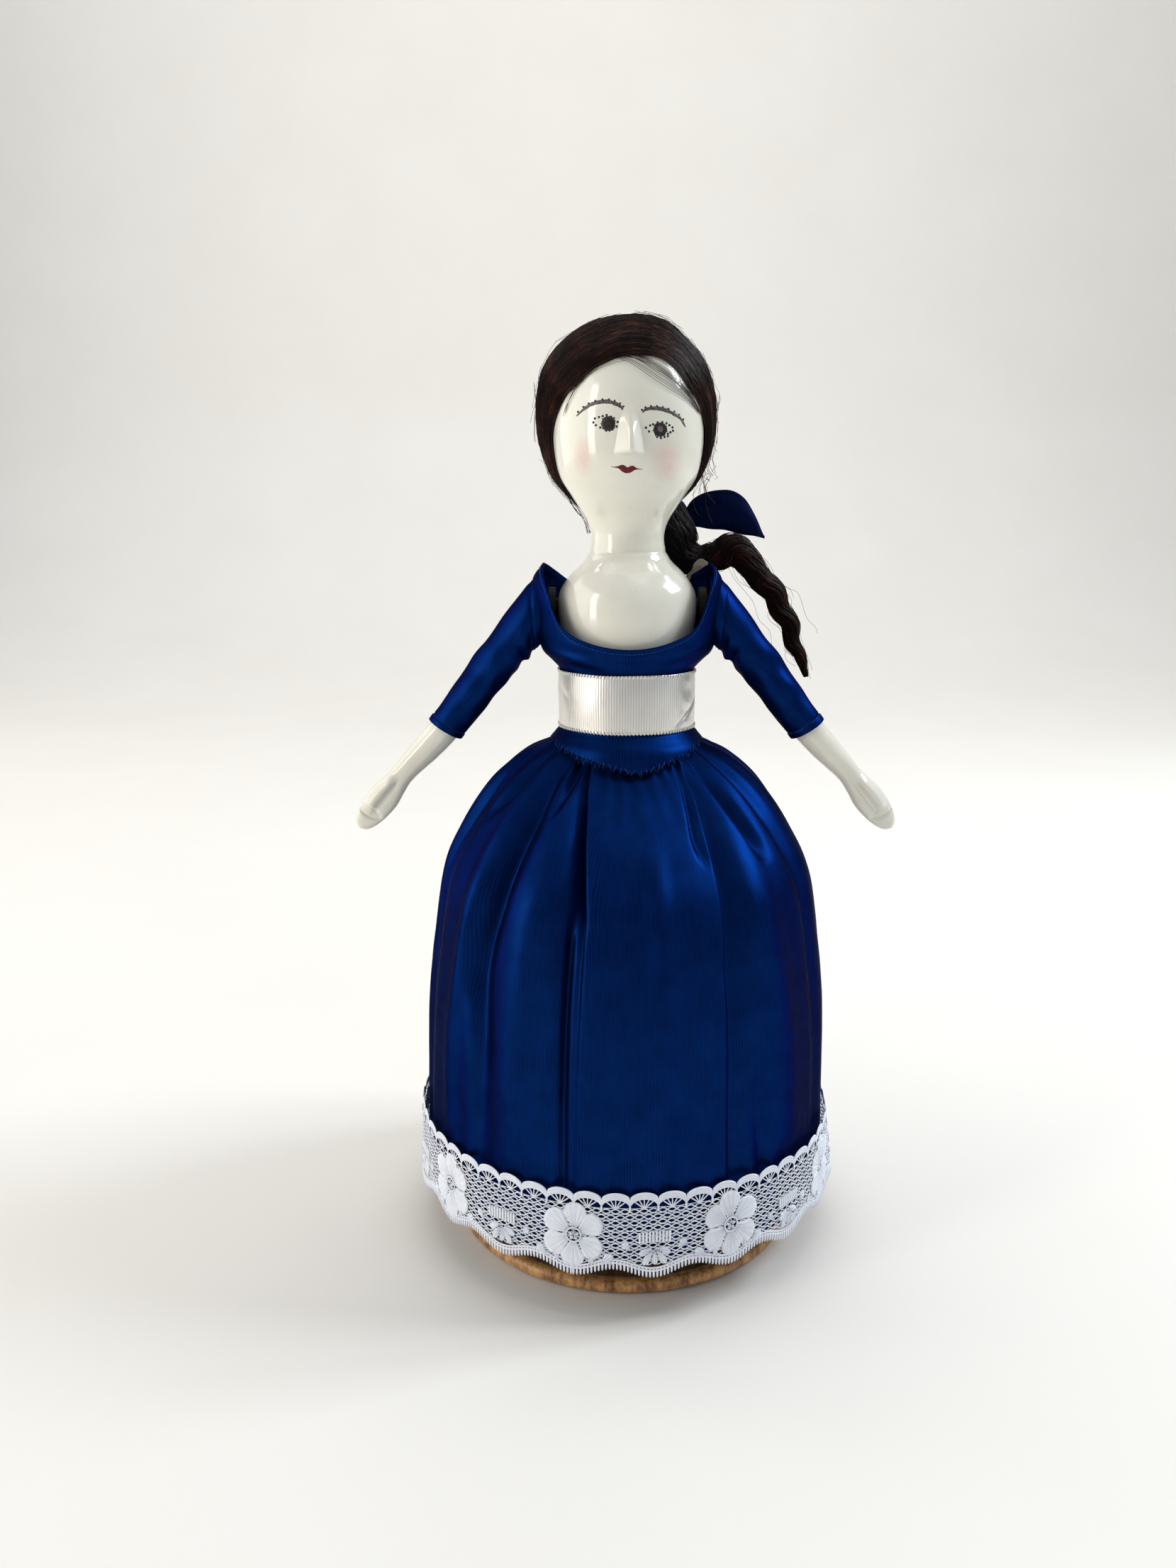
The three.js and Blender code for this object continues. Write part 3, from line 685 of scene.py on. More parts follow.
def stroke(net, points, half_width, ends=0.35):
    """A brush stroke on the face, tapered at both ends."""
    t = np.linspace(0, 1, 70)
    path = smooth_path(points, len(t))
    along = unit(np.gradient(path, axis=0))
    normal = np.stack([-along[:, 1], along[:, 0]], -1)
    taper = np.minimum(1, np.minimum(t, 1 - t) / ends) ** 0.6
    wobble = 1 + 0.22 * ripple(t * 60, 0 * t, 5)
    width = half_width * (0.25 + 0.75 * taper) * wobble
    across = np.array([-1, -0.6, 0, 0.6, 1])
    spots = path[:, None] + across[None, :, None] * (normal * width[:, None])[:, None]
    rounded = [-0.02, PAINT_LIFT, PAINT_LIFT + 0.03, PAINT_LIFT, -0.02]
    lift = np.broadcast_to(rounded, spots.shape[:2])
    net.grid(on_face(spots[..., 0], spots[..., 1], lift), flip=True)
    return path, normal


def blob(net, centre, outline, rings=(0, 0.35, 0.7, 0.9, 1.0), lift=PAINT_LIFT):
    """A filled spot on the face: outline gives its reach in mm for each angle."""
    turn = np.linspace(0, 2 * np.pi, len(outline), endpoint=False)
    share = np.array(rings)[:, None]
    x = centre[0] + share * outline * np.cos(turn)
    z = centre[1] + share * outline * np.sin(turn)
    raised = lift + 0.02 - (lift + 0.05) * ease((share - 0.75) / 0.25) + 0 * x
    net.grid(on_face(x, z, raised), wrap=True)


def dot(net, spot, size, ragged):
    blob(net, spot, size * (1 + ragged * random.uniform(-1, 1, 12)), DOT_RINGS)


def painted_face():
    """Brows with dotted lashes above them, eyes with lash dots, one painted iris reflection, a small
    mouth.
    """
    brows, eyes = Net(), Net()
    for points in (LEFT_BROW, RIGHT_BROW):
        path, normal = stroke(brows, points, BROW_HALF_WIDTH)
        for k in range(4, len(path) - 3, 7):
            dot(eyes, path[k] + normal[k] * BROW_HALF_WIDTH, 0.44, 0.2)
    for spot in LASH_DOTS:
        dot(eyes, spot, 0.47, 0.15)
    glints = Net()
    turn = np.linspace(0, 2 * np.pi, 120, endpoint=False)
    for centre, seed in IRISES:
        spikes = 0.42 * np.maximum(0, np.cos(9 * turn + seed)) ** 5
        outline = IRIS_RADIUS + spikes + 0.16 * ripple(2.2 * np.cos(turn), 2.2 * np.sin(turn), seed)
        blob(eyes, centre, outline)
    # The pale ring on the viewer's right iris is a painted reflection.
    ring = 1.3 + 0.3 * ripple(2 * np.cos(turn), 2 * np.sin(turn), 9)
    blob(glints, (10.2, 313.1), ring, lift=PAINT_LIFT + 0.05)
    lips = Net()
    outline = smooth_path([*LIPS, LIPS[0]], 140)[:-1]
    share = np.array([0.02, 0.4, 0.75, 0.92, 1.0])[:, None, None]
    spots = LIPS_MIDDLE + share * (outline - LIPS_MIDDLE)
    lift = np.array([0.12, 0.12, 0.11, 0.08, -0.03])[:, None] + 0 * spots[..., 0]
    lips.grid(on_face(spots[..., 0], spots[..., 1], lift), wrap=True, flip=True)
    stroke(lips, LIP_LINE, 0.16, ends=0.2)
    pieces = (
        (brows, "painted_brows", BROW_PAINT), (eyes, "painted_eyes", IRIS_PAINT),
        (glints, "iris_glints", IRIS_PAINTED_REFLECTION), (lips, "painted_lips", LIP_PAINT),
    )
    for net, name, look in pieces:
        piece = net.object(name, look)
        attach(piece, "doll")


# ---- base -------------------------------------------------------------------------------------


def base():
    """A round base with a bead rim, and a recess under it for the screw's head."""
    bead = [
        (66.9 + 2.6 * math.cos(a), 3.7 + 2.7 * math.sin(a))
        for a in np.linspace(-math.pi / 2, math.pi / 2 + 0.5, 26)
    ]
    profile = [(0, 4.3), (5.5, 4.3), (5.5, 1), (10, 1), (40, 1), (62, 1), (66.9, 1), *bead]
    profile += [(64.9, 5.6), (64.1, 5.2), (63.1, 5.2), (61.9, 5.6), (60.9, 6.0), (58, 6.15), (46, 6.2)]
    profile += [(20, 6.2), (2.1, 6.2), (2.1, 4.4), (0, 4.4)]
    net = turned(profile, 192)

    def hand_finished(points):
        turn = np.arctan2(points[:, 0], -points[:, 1])
        far = np.hypot(points[:, 0], points[:, 1])
        out = 1 + 0.0022 * ease((far - 50) / 12) * ripple(5 * np.cos(turn), 5 * np.sin(turn), 12)
        return points * np.stack([out, out, 0 * out + 1], -1)

    net.bend(hand_finished)
    piece = net.object("base_round", BASE_WOOD)
    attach(piece, "doll")
    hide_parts("base_disc")


# ---- arms and sleeves ---------------------------------------------------------------------------

PIN_X, PIN_HOLE, ARM_SLOPE = 36, 1.7, 51.4
SIDES = (("left", 1), ("right", -1))
# Distance from the pin, half height, half depth, and squareness of the section.
ARM = table(
    [
        (-5.2, 1.6, 1.6, 2), (-4.2, 3.6, 4, 2), (-1.8, 5, 5.4, 2), (3, 5.4, 5.6, 2),
        (22, 5.8, 5.8, 2), (50, 6, 6, 2), (66, 5.8, 5.7, 2), (76, 5.1, 4.9, 2.1),
        (84, 4.5, 4.0, 2.2), (90, 5.2, 3.5, 2.4), (96, 6.1, 3.1, 2.5), (103, 5.6, 2.6, 2.5),
        (108, 4.3, 2.1, 2.3), (111, 2.6, 1.4, 2), (112.2, 0.5, 0.4, 2),
    ]
)


# How far the arm bows below the straight line from pin to finger tips, by distance.
ARM_BOW = table([(-6, 0), (0, 0), (8, -0.8), (20, -1.8), (55, -2.3), (70, -1.5), (84, -0.3), (113, 0)])


def heading(slope):
    """The directions along and square to a line that dips by so many degrees."""
    dip = math.radians(slope)
    return np.array([math.cos(dip), 0, -math.sin(dip)]), np.array([math.sin(dip), 0, math.cos(dip)])


def mirror(net, sign):
    """The net as it is, or its mirror image on the doll's right."""
    if sign < 0:
        net.bend(lambda points: points * (-1, 1, 1))
        net.faces = [face[::-1] for face in net.faces]
    return net


def arm(side, sign):
    """A turned arm whittled to a flat mitten hand, with the thumb laid along the palm."""
    forward, upward = heading(ARM_SLOPE)
    sideways = np.array([0, 1, 0])
    pivot = np.array([PIN_X, 0, PEG_HEIGHT])
    spans = ((-5.2, -1, 14), (0, 84, 50), (85, 112.2, 64))
    distance = np.concatenate([np.linspace(*span) for span in spans])
    high, deep, square = (value[:, None] for value in ARM(distance))
    turn = full_turn(64)
    c, s = np.cos(turn), np.sin(turn)
    power = 2 / square
    rise = high * np.sign(s) * np.abs(s) ** power
    front = -deep * np.sign(c) * np.abs(c) ** power
    d = distance[:, None]
    level = rise / high
    palm = ease((c - 0.1) / 0.5) * ease((d - 85) / 5)
    thumb = hump(level, 0.42, 0.34) * (1 - ease((d - 100.5) / 3.5))
    groove = hump(level, -0.12, 0.13) * (1 - ease((d - 103) / 3))
    tip = np.hypot((d - 103.6) / 2.2, (level - 0.4) * 1.1)
    groove = groove + hump(tip, 1, 0.28) * ease((d - 101) / 2)
    front = front - palm * (1.5 * thumb - 0.75 * groove)
    centre = pivot + d * forward + ARM_BOW(distance)[:, None] * upward
    rows = centre[:, None] + rise[..., None] * upward + front[..., None] * sideways
    net = Net()
    net.closed(rows, flip=True)
    piece = mirror(net, sign).object(f"carved_arm_{side}", ENAMEL)
    slot = Net()
    ring = [(-2.4, -9), (2.4, -9), (2.4, 9), (-2.4, 9)]
    slot.closed(
        [[pivot + x * forward + y * sideways + h * upward for y, h in ring] for x in (-9, 6.6)]
    )
    pin = rod("y", (PIN_X, 0, PEG_HEIGHT), -9, 9, PIN_HOLE)
    cut(piece, *(mirror(tool, sign).object("tool", ENAMEL) for tool in (slot, pin)))
    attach(piece, f"upper_limb_{side}")
    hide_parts(f"arm_{side}")


# Down the left sleeve: x and z of its upper line, x and z of its lower line, half depth.
SLEEVE = [
    (31, 261.2, 31.6, 236.6, 10.6), (33.6, 261.4, 33.4, 235.3, 10.9), (36.6, 259.7, 34.9, 233.8, 11),
    (41, 254.3, 36.4, 232.3, 10.8), (47, 246.6, 38.9, 229.4, 10.2), (55, 236, 44.2, 223.4, 9.3),
    (64, 223.9, 52.2, 213.7, 8.3), (72.4, 212.4, 60.6, 203.9, 7.5), (76.8, 206.4, 64.7, 198.7, 7.4),
]
CUFF_STITCH = 0.947  # share of the way down the sleeve
SATIN_THICK, BODICE_THICK, COTTON_THICK, SASH_THICK, RIBBON_THICK = 0.45, 0.5, 0.4, 0.35, 0.3


def sleeve_rows(columns=96, rows=120):
    """Rings of the left sleeve from inside the bodice to the cuff, with its creases."""
    shape = smooth_path(SLEEVE, rows)
    upper, lower, deep = shape[:, 0:2], shape[:, 2:4], shape[:, 4:]
    middle, reach = (upper + lower) / 2, (upper - lower) / 2
    high = np.linalg.norm(reach, axis=1, keepdims=True)
    step = np.linalg.norm(np.diff(middle, axis=0, prepend=middle[:1]), axis=1)
    d = np.cumsum(step)[:, None] - 3
    share = np.linspace(0, 1, rows)[:, None]
    turn = full_turn(columns)
    c, s = np.cos(turn), np.sin(turn)
    under = ease((-s + 0.3) / 1.1)
    crease = 0.8 * np.sin(d * 0.6 + 1.3 * c + 1.2) * hump(d, 12, 9) * under
    crease = crease + 0.5 * np.sin(d * 0.36 + 2.2 * c + 4) * hump(d, 32, 13) * ease((c + 0.5) / 1.5)
    crease = crease + 0.5 * ripple(d * 0.16, 1.9 * c + 1.2 * s, 21) * ease(d / 6)
    hem = 0.3 * ease((share - CUFF_STITCH - 0.004) / 0.006) - 0.28 * hump(share, CUFF_STITCH, 0.008)
    seam = -0.3 * hump(d, 2.4, 0.9)
    swell = crease * ease((1 - share) / 0.1) + hem + seam
    rise = (1 + swell / high) * s
    x, z = (middle[:, k : k + 1] + reach[:, k : k + 1] * rise for k in (0, 1))
    return np.stack([x, -(deep + swell) * c, z], -1), on_cloth(turn * 8.5, d)


def sleeve(side, sign):
    """A satin sleeve from inside the bodice to the cuff, with cuff stitches that go with the arm."""
    points, flat = sleeve_rows()
    net = Net()
    net.grid(points, wrap=True, flat=flat, flip=True)
    piece = mirror(net, sign).object(f"satin_sleeve_{side}", NAVY)
    thicken(piece, SATIN_THICK)
    stitches = Net()
    ring = points[round(CUFF_STITCH * (len(points) - 1))]
    centre = ring.mean(0)
    ring = centre + (ring - centre) * 1.008
    dense = smooth_path([*ring, ring[0]], 241)
    dashes = [smooth_path(dense[k : k + 4], 5) for k in range(0, 236, 5)]
    stitches.tubes(dashes, 0.14, sides=5)
    sewn = mirror(stitches, sign).object(f"cuff_stitches_{side}", NAVY_THREAD)
    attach(sewn, f"upper_limb_{side}")
    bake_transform(piece)
    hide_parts(f"sleeve_{side}")


turned_body()
nose()
painted_face()
base()
for side, sign in SIDES:
    arm(side, sign)
    sleeve(side, sign)


# ---- skirt, petticoat and hip roll --------------------------------------------------------------

SKIRT_SIDE = [
    (24.8, 200.8), (28.4, 199), (32.4, 197.4), (42.2, 192.6), (54, 182), (65, 165),
    (73, 147), (77, 121), (79.8, 92), (80.8, 60), (81.6, 24),
]
SKIRT_FRONT = [
    (24.8, 200.8), (25.8, 198), (27.4, 194), (31.4, 189), (43, 180), (60, 164),
    (71, 147), (76.4, 121), (79.4, 92), (80.8, 60), (81.6, 24),
]
# Each fold: (height, angle, depth) up its length, then its reach in mm to either side.
FRONT_FOLDS = [
    ([(24, -43, 0.5), (60, -43, 1.4), (98, -44, 2.8), (124, -47, 4.6), (150, -44.5, 5.6),
      (176, -45, 4.4), (196, -54, 1.6)], 4.2, 6.8),
    ([(24, -15, 0.3), (90, -14.5, 0.8), (120, -14, 1.4), (140, -13.4, 3.2), (149, -12.6, 6),
      (165, -14.6, 7.2), (180, -20, 5.4), (193, -30, 2)], 8.4, 1.1),
    ([(24, -17.5, 0.3), (60, -17.6, 1.4), (100, -17.8, 1.9), (135, -17.6, 1.6),
      (150, -17.5, 0)], 1.5, 1.7),
    ([(24, 27, 1.1), (78, 27, 1.9), (110, 27.4, 2.1), (135, 27.8, 2.6), (167, 31, 3.2),
      (185, 38, 2.4), (196, 45, 1.2)], 1.5, 6),
    ([(160, 50, 0), (168, 50, 3.6), (180, 49.5, 3.8), (196, 52, 1.6)], 3, 4.5),
    ([(162, 26, 0), (170, 26, 2.2), (180, 30, 2), (194, 37, 1)], 2.2, 2.6),
    ([(176, -35, 0), (183, -36, 2.6), (190, -38, 2.2), (196, -41, 1)], 1.8, 3),
    ([(172, -66, 0), (182, -65, 2.8), (196, -68, 1.5)], 3, 4),
    ([(24, -33, -0.7), (90, -33, -1.1), (150, -31, -1.2), (185, -30, 0)], 8, 7),
    ([(24, -56, -0.6), (90, -56, -1.3), (150, -52.5, -1.6), (190, -56, -0.5)], 5, 4),
    ([(24, 9, -0.9), (90, 8, -1.2), (150, 8, -1.1), (186, 8, 0)], 5, 5),
    ([(24, 47, -1.2), (90, 45, -1.6), (150, 41, -1.5), (184, 44, 0)], 9, 9),
    ([(24, 38, 1.4), (50, 37, 1.2), (85, 34, 0)], 2.6, 3.4),
    ([(24, 66, 0.8), (90, 66, 1.2), (150, 66, 1.8), (186, 66, 1.8), (198, 66, 0.8)], 5, 6),
    ([(24, -78, 0.8), (90, -76, 1.4), (150, -76, 2), (186, -78, 1.8), (198, -78, 0.8)], 5, 6),
]
PLEAT = 1  # the knife pleat among the folds: its cloth laps over to the left
FOLD_DEPTH = 1.55  # how much deeper the folds are than their tables say
WAIST_HEIGHT = 200.8
HEM_WIDEST = 81.2  # keeps the cloth behind the lace


def round_the_back():
    """Softer folds like the front's, from one side round the back to the other."""
    folds = []
    for angle in range(88, 276, 17):
        turn = angle + random.uniform(-4, 4)
        deep = random.uniform(2.2, 4)
        lean = random.uniform(-6, 6)
        path = [
            (24, turn + lean, 0.5), (80, turn + lean, 1.1), (140, turn, deep * 0.7),
            (176, turn, deep), (197, turn - lean, 1.4),
        ]
        folds.append((path, random.uniform(2.5, 5), random.uniform(3, 6)))
    return folds


FOLDS = [(table(path), left, right) for path, left, right in FRONT_FOLDS + round_the_back()]


def skirt_points(angles, rows, inset=0.0, low=24.0, drape=1.0):
    """Points of the skirt's cloth, and where they lie on it, for a list of angles."""
    side, front = smooth_path(SKIRT_SIDE, rows), smooth_path(SKIRT_FRONT, rows)
    turn = np.radians(angles)[None, :]
    share = np.maximum(0, np.cos(turn)) ** 1.2
    radius = side[:, :1] * (1 - share) + front[:, :1] * share - inset
    z = side[:, 1:] * (1 - share) + front[:, 1:] * share - 0.6 * inset
    z = np.maximum(z, low)
    size = 0.28 + 0.72 * radius / 76
    deep, lap = 0, 0
    for k, (path, left, right) in enumerate(FOLDS):
        where, depth = path(z)
        across = ((np.degrees(turn) - where + 180) % 360 - 180) * np.pi / 180 * radius
        reach = np.where(across < 0, left, right) * size
        deep = deep + FOLD_DEPTH * depth * np.exp(-((across / reach) ** 2))
        if k == PLEAT:
            lap = lap - 0.42 * np.maximum(depth - 1, 0) * hump(across, 1.8, 2.2)
    gather = ease((z - 168) / 26) * ease((WAIST_HEIGHT - z) / 3)
    fine = np.cos(np.radians(angles) * 38 + 2.2 * ripple(turn * 4, 0, 31))
    deep = deep + gather * (0.35 + 0.35 * fine)
    deep = deep + 0.28 * ripple(turn * 5, z / 26, 7) + 0.1 * ripple(turn * 19, z / 9, 9)
    deep = deep * ease((200.9 - z) / 1.5) * drape
    radius = radius - deep
    hem = 1.2 * ripple(2 * np.cos(turn), 2 * np.sin(turn), 4, 2) * ease((60 - z) / 36)
    bearing = turn + lap * drape / radius
    radius = np.minimum(radius, HEM_WIDEST + 20 * ease((z - 52) / 30))
    points = around(bearing, radius, z + hem)
    down = np.cumsum(np.linalg.norm(np.diff(points, axis=0, prepend=points[:1]), axis=-1), axis=0)
    return points, on_cloth(turn * 81, -down)


def skirt():
    """The gathered skirt, with more columns in front, where the folds are the photograph's."""
    angles = np.concatenate([np.linspace(-80, 80, 430), np.linspace(81, 279, 150)])
    points, flat = skirt_points(angles, 124)
    net = Net()
    net.grid(points, wrap=True, flat=flat, flip=True)
    piece = thicken(net.object("gathered_skirt", NAVY), SATIN_THICK)
    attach(piece, "doll")
    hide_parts("skirt")


def petticoat():
    """A puffed cotton underskirt that follows the skirt's folds more gently."""
    angles = np.linspace(-180, 179, 300)
    points, flat = skirt_points(angles, 70, inset=6.4, low=32.0, drape=0.62)
    turn = np.radians(angles)[None, :]
    z = points[..., 2]
    puff = 0.5 * np.cos(44 * turn + 2 * ripple(turn * 3, 0, 3)) * ease((180 - z) / 40)
    level = np.linalg.norm(points[..., :2], axis=-1)
    points[..., :2] *= (1 + puff / level)[..., None]
    net = Net()
    net.grid(points, wrap=True, flat=flat, flip=True)
    piece = thicken(net.object("gathered_petticoat", CREAM_COTTON), COTTON_THICK)
    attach(piece, "doll")
    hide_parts("petticoat")


ROLL_REACH, ROLL_HEIGHT = 34.5, 174  # the middle of the roll, from the axis and above the table


def hip_roll():
    """A stuffed cotton crescent, tied behind the waist, puckered along its seam."""
    turn = full_turn(40)
    rows, flat = [], []
    for t in np.linspace(0.02, 0.98, 90):
        bearing = math.radians(-30 + 240 * t)
        radius = 9.3 * math.sqrt(math.sin(math.pi * t))
        pucker = 1 - 0.05 * np.maximum(0, np.cos(turn - 2.6)) ** 6 * (1 + np.sin(t * 230))
        wrinkle = 1 + 0.025 * ripple(t * 30 + 0 * turn, 2 * np.cos(turn), 17)
        reach = ROLL_REACH + radius * pucker * wrinkle * np.cos(turn)
        z = ROLL_HEIGHT + radius * pucker * wrinkle * np.sin(turn)
        rows.append(np.stack([reach * math.cos(bearing), reach * math.sin(bearing), z], -1))
        flat.append(on_cloth(turn * 9, t * 145))
    net = Net()
    net.closed(rows, flat=flat, flip=True)
    piece = net.object("hip_pad", CREAM_COTTON)
    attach(piece, "doll")
    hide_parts("hip_roll")


# ---- bodice, facing and sash ----------------------------------------------------------------

# Half width and half depth of the bodice at each height.
BODICE = table(
    [
        (189, 33.6, 32.6), (197.5, 30.8, 30.9), (201.6, 27.8, 27.8), (205.4, 25.5, 25.5),
        (216, 25.3, 25.3), (225.4, 25.5, 25.5), (227.6, 26.8, 26.3), (230.4, 29.6, 27.4),
        (233.6, 32.6, 28.6), (240, 34.4, 29.4), (247, 35.4, 29.4), (254, 36.2, 28.8),
        (259.5, 36.2, 27), (263, 34.6, 24.6), (266.6, 31.4, 20.6),
    ]
)
# How far the neckline reaches to each side at each height, in front and behind.
NECK_FRONT = table(
    [
        (236, 0), (236.4, 6), (237.6, 12.5), (239.6, 18.6), (242, 23), (245.6, 26.2), (250.4, 28.2),
        (256, 30), (261.5, 31.6), (266.4, 31.6),
    ]
)
NECK_BACK = table(
    [(252, 0), (252.8, 8), (255.5, 17), (258.6, 22.4), (261.3, 25.6), (264, 29), (266.4, 31.6)]
)
EDGE_SIDE, EDGE_POINT, POINT_X = 199.2, 190.9, 3.4


def neck_height(turn):
    """Height of the neckline at a bearing from the front."""
    z = np.linspace(236, 266.4, 400)[:, None]
    wide, _ = BODICE(z)
    across = wide * np.abs(np.sin(turn))
    ahead = np.cos(turn) > 0
    limit = np.where(ahead, NECK_FRONT(z), np.where(z < 252, -1, NECK_BACK(z)))
    inside = across <= limit
    first = np.where(inside.any(0), inside.argmax(0), len(z) - 1)
    return z[first, 0]


def waist_height(turn):
    """Height of the bodice's lower edge: a shallow hand-cut point in front."""
    wide, _ = BODICE(np.full_like(turn, 198))
    x = wide * np.sin(turn)
    share = np.where(x < POINT_X, (POINT_X - x) / (29 + POINT_X), (x - POINT_X) / (29 - POINT_X))
    point = EDGE_POINT + (EDGE_SIDE - EDGE_POINT) * np.clip(share, 0, 1) ** 1.12
    ragged = 0.16 * ripple(x * 1.7, 0, 2)
    return np.where(np.cos(turn) > 0, point, EDGE_SIDE) + ragged


def bodice_points(turn, z, out):
    """Points of the bodice, pulled into drag lines at the armholes, and out from it."""
    wide, deep = BODICE(z)
    drag = hump(np.degrees(turn), -38, 16) * hump(z, 231, 5) * np.sin((z - 226) * 0.9 + turn * 5)
    drag = drag + 0.6 * hump(np.degrees(turn), 48, 14) * hump(z, 233, 6) * np.sin(z * 0.8 - turn * 6)
    reach = out + (0.3 * ripple(turn * 3.1, z / 9, 41) * ease((z - 228) / 5) + 0.8 * drag)
    return around(turn, wide + reach, z, deep + reach)


def bodice():
    """The satin bodice, from its pointed lower edge to the turned-in neckline."""
    spans = ((-52, 52, 130), (53, 75, 60), (76, 284, 120), (285, 307, 60))
    turn = np.radians(np.concatenate([np.linspace(*span) for span in spans]))
    turn = (turn + np.pi) % (2 * np.pi) - np.pi
    low, high = waist_height(turn), neck_height(turn)
    high = np.convolve(np.concatenate([high[-3:], high, high[:3]]), np.ones(7) / 7, "valid")
    t = np.linspace(0, 1, 74)[:, None]
    z = low + (high - low) * t
    hem = 0.35 * ease((z - (high - 1.5)) / 0.3) - 0.3 * hump(z, high - 1.7, 0.35)
    points = bodice_points(turn + 0 * z, z, hem * ease((z - 230) / 4))
    net = Net()
    net.grid(points, wrap=True, flat=on_cloth(turn * 29, z))
    piece = net.object("bodice_satin", NAVY)
    cut_armholes(piece)
    thicken(piece, BODICE_THICK)
    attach(piece, "doll")
    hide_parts("bodice")
    bodice_stitches(turn, low, high)


def cut_armholes(piece):
    """Opens the bodice inside each sleeve head."""
    work = bmesh.new()
    work.from_mesh(piece.data)
    gone = []
    for face in work.faces:
        at = face.calc_center_median() / MM
        if abs(at.x) > 24 and (at.y / 8.6) ** 2 + ((at.z - 248.4) / 10.2) ** 2 < 1:
            gone.append(face)
    bmesh.ops.delete(work, geom=gone, context="FACES")
    work.to_mesh(piece.data)
    work.free()


def bodice_stitches(turn, low, high):
    """Topstitching round the neckline, and hand stitches with loose ends along the point."""
    order = np.argsort(turn)
    turn, low, high = turn[order], low[order], high[order]
    net = Net()
    ring = bodice_points(turn, high - 1.7, 0.12)
    length = run_length(ring)
    stitch = 1.5
    for start in np.arange(0, length[-1] - stitch, stitch):
        s = np.linspace(start, start + stitch * 0.74, 4)
        dash = np.stack([np.interp(s, length, ring[:, k]) for k in range(3)], -1)
        net.tubes([dash], 0.16, sides=5)
    for bearing in np.radians(np.arange(-66, 66, 4.1)):
        bearing = bearing + random.uniform(-0.02, 0.02)
        z = np.interp(bearing, turn, low)
        lean = random.uniform(-0.03, 0.03)
        heights = z + np.array([1.3, 0.6, -0.2, -0.9]) * random.uniform(0.8, 1.2)
        out = np.array([0.1, 0.25, 0.2, -0.3])
        path = bodice_points(bearing + lean * np.linspace(-1, 1, 4), heights, out)
        net.tubes([path], 0.13, sides=4)
    for _ in range(46):
        bearing = math.radians(random.uniform(-58, 58))
        z = np.interp(bearing, turn, low)
        t = np.linspace(0, 1, 6)
        long = random.uniform(0.8, 2.6)
        lean = random.uniform(-0.06, 0.06)
        path = bodice_points(bearing + t * lean, z + 0.3 - t * long, 0.1 + 0.5 * np.sin(t * 3))
        net.tubes([path], 0.05, sides=3)
    piece = net.object("bodice_stitches", NAVY_THREAD)
    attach(piece, "doll")


def facing():
    """The cream facing inside the back, standing a little proud of the neckline, darkened as painted
    shade.
    """
    degrees = np.linspace(101, 214, 130)
    angles = np.radians(degrees)
    edge = neck_height(angles)
    top = edge + 0.1 + 2.6 * hump(degrees, 117, 10)
    bottom = edge - 0.8 - 13 * ease((degrees - 130) / 16) * ease((214 - degrees) / 12)
    t = np.linspace(0, 1, 30)[:, None]
    z = bottom + (top - bottom) * t
    points = bodice_points(angles + 0 * z, np.minimum(z, 265), -1.1)
    points[..., 2] = z
    net = Net()
    net.grid(points, flat=on_cloth(angles * 28, z))
    piece = thicken(net.object("bodice_facing", SHADED_FACING), COTTON_THICK)
    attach(piece, "doll")
    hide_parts("bodice_lining")


SASH_RADIUS = 26.25


def sash():
    """A satin ribbon once round the waist, lapped and stitched behind."""
    angles = np.linspace(-180, 196, 380)
    t = np.linspace(0, 1, 40)[:, None]
    turn = np.radians(angles)[None, :]
    z = 204.3 + 21.8 * t + 0 * turn
    bowed = 0.35 * np.sin(np.pi * t)
    crease = hump(angles, 58, 7) * np.sin((z - 204) * 0.75 + angles * 0.1) * 0.5
    slant = ease((angles - 40) / 8) * ease((86 - angles) / 10)
    crease = crease - 0.9 * hump(z - 207 - (angles - 44) * 0.24, 0, 0.9) * slant
    crease = crease + 0.22 * ripple(turn * 3, z / 5, 61)
    crease = crease - 0.5 * hump(z - 217 + (angles + 62) * 0.2, 0, 1.6) * hump(angles, -66, 13)
    lap = 0.55 * ease((angles - 176) / 5)
    radius = SASH_RADIUS + bowed + 0.75 * crease * np.sin(np.pi * t) ** 0.5 + lap
    rim = 0.16 * (hump(t, 0.0, 0.02) + hump(t, 1.0, 0.02))
    radius = radius + rim
    points = around(turn, radius, z + 0.25 * ripple(turn * 2.5, 0, 5))
    net = Net()
    net.grid(points, flat=on_cloth(turn * 26.5, z))
    piece = thicken(net.object("satin_sash", SASH_SATIN), SASH_THICK)
    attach(piece, "doll")
    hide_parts("sash")
    picots = Net()
    for row, tip in ((1, -1), (38, 1)):
        line = points[row]
        for k in range(2, 376, 3):
            inward = line[k] - (0, 0, tip * 0.4)
            outward = line[k] + (0, 0, tip * 0.7)
            lean = (line[k + 1] - line[k - 1]) * 0.25
            push = line[k] * (1, 1, 0) / 26.5 * 0.2
            path = smooth_path([inward + push, line[k] + push * 1.6, outward + push + lean], 4)
            picots.tubes([path], 0.25, sides=4)
    edge = picots.object("sash_picots", WHITE_THREAD)
    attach(edge, "doll")


# ---- lace hem -----------------------------------------------------------------------------------

LACE_RADIUS, LACE_LOW = 82.9, 18.3
TALL = 1.1  # how much taller the strip is than its pattern
LACE_LONG = 2 * math.pi * LACE_RADIUS
REPEATS = 9
REPEAT = LACE_LONG / REPEATS
FIRST_FLOWER = -14  # degrees
UP_FROM_CLOTH = (0, 0, 1)


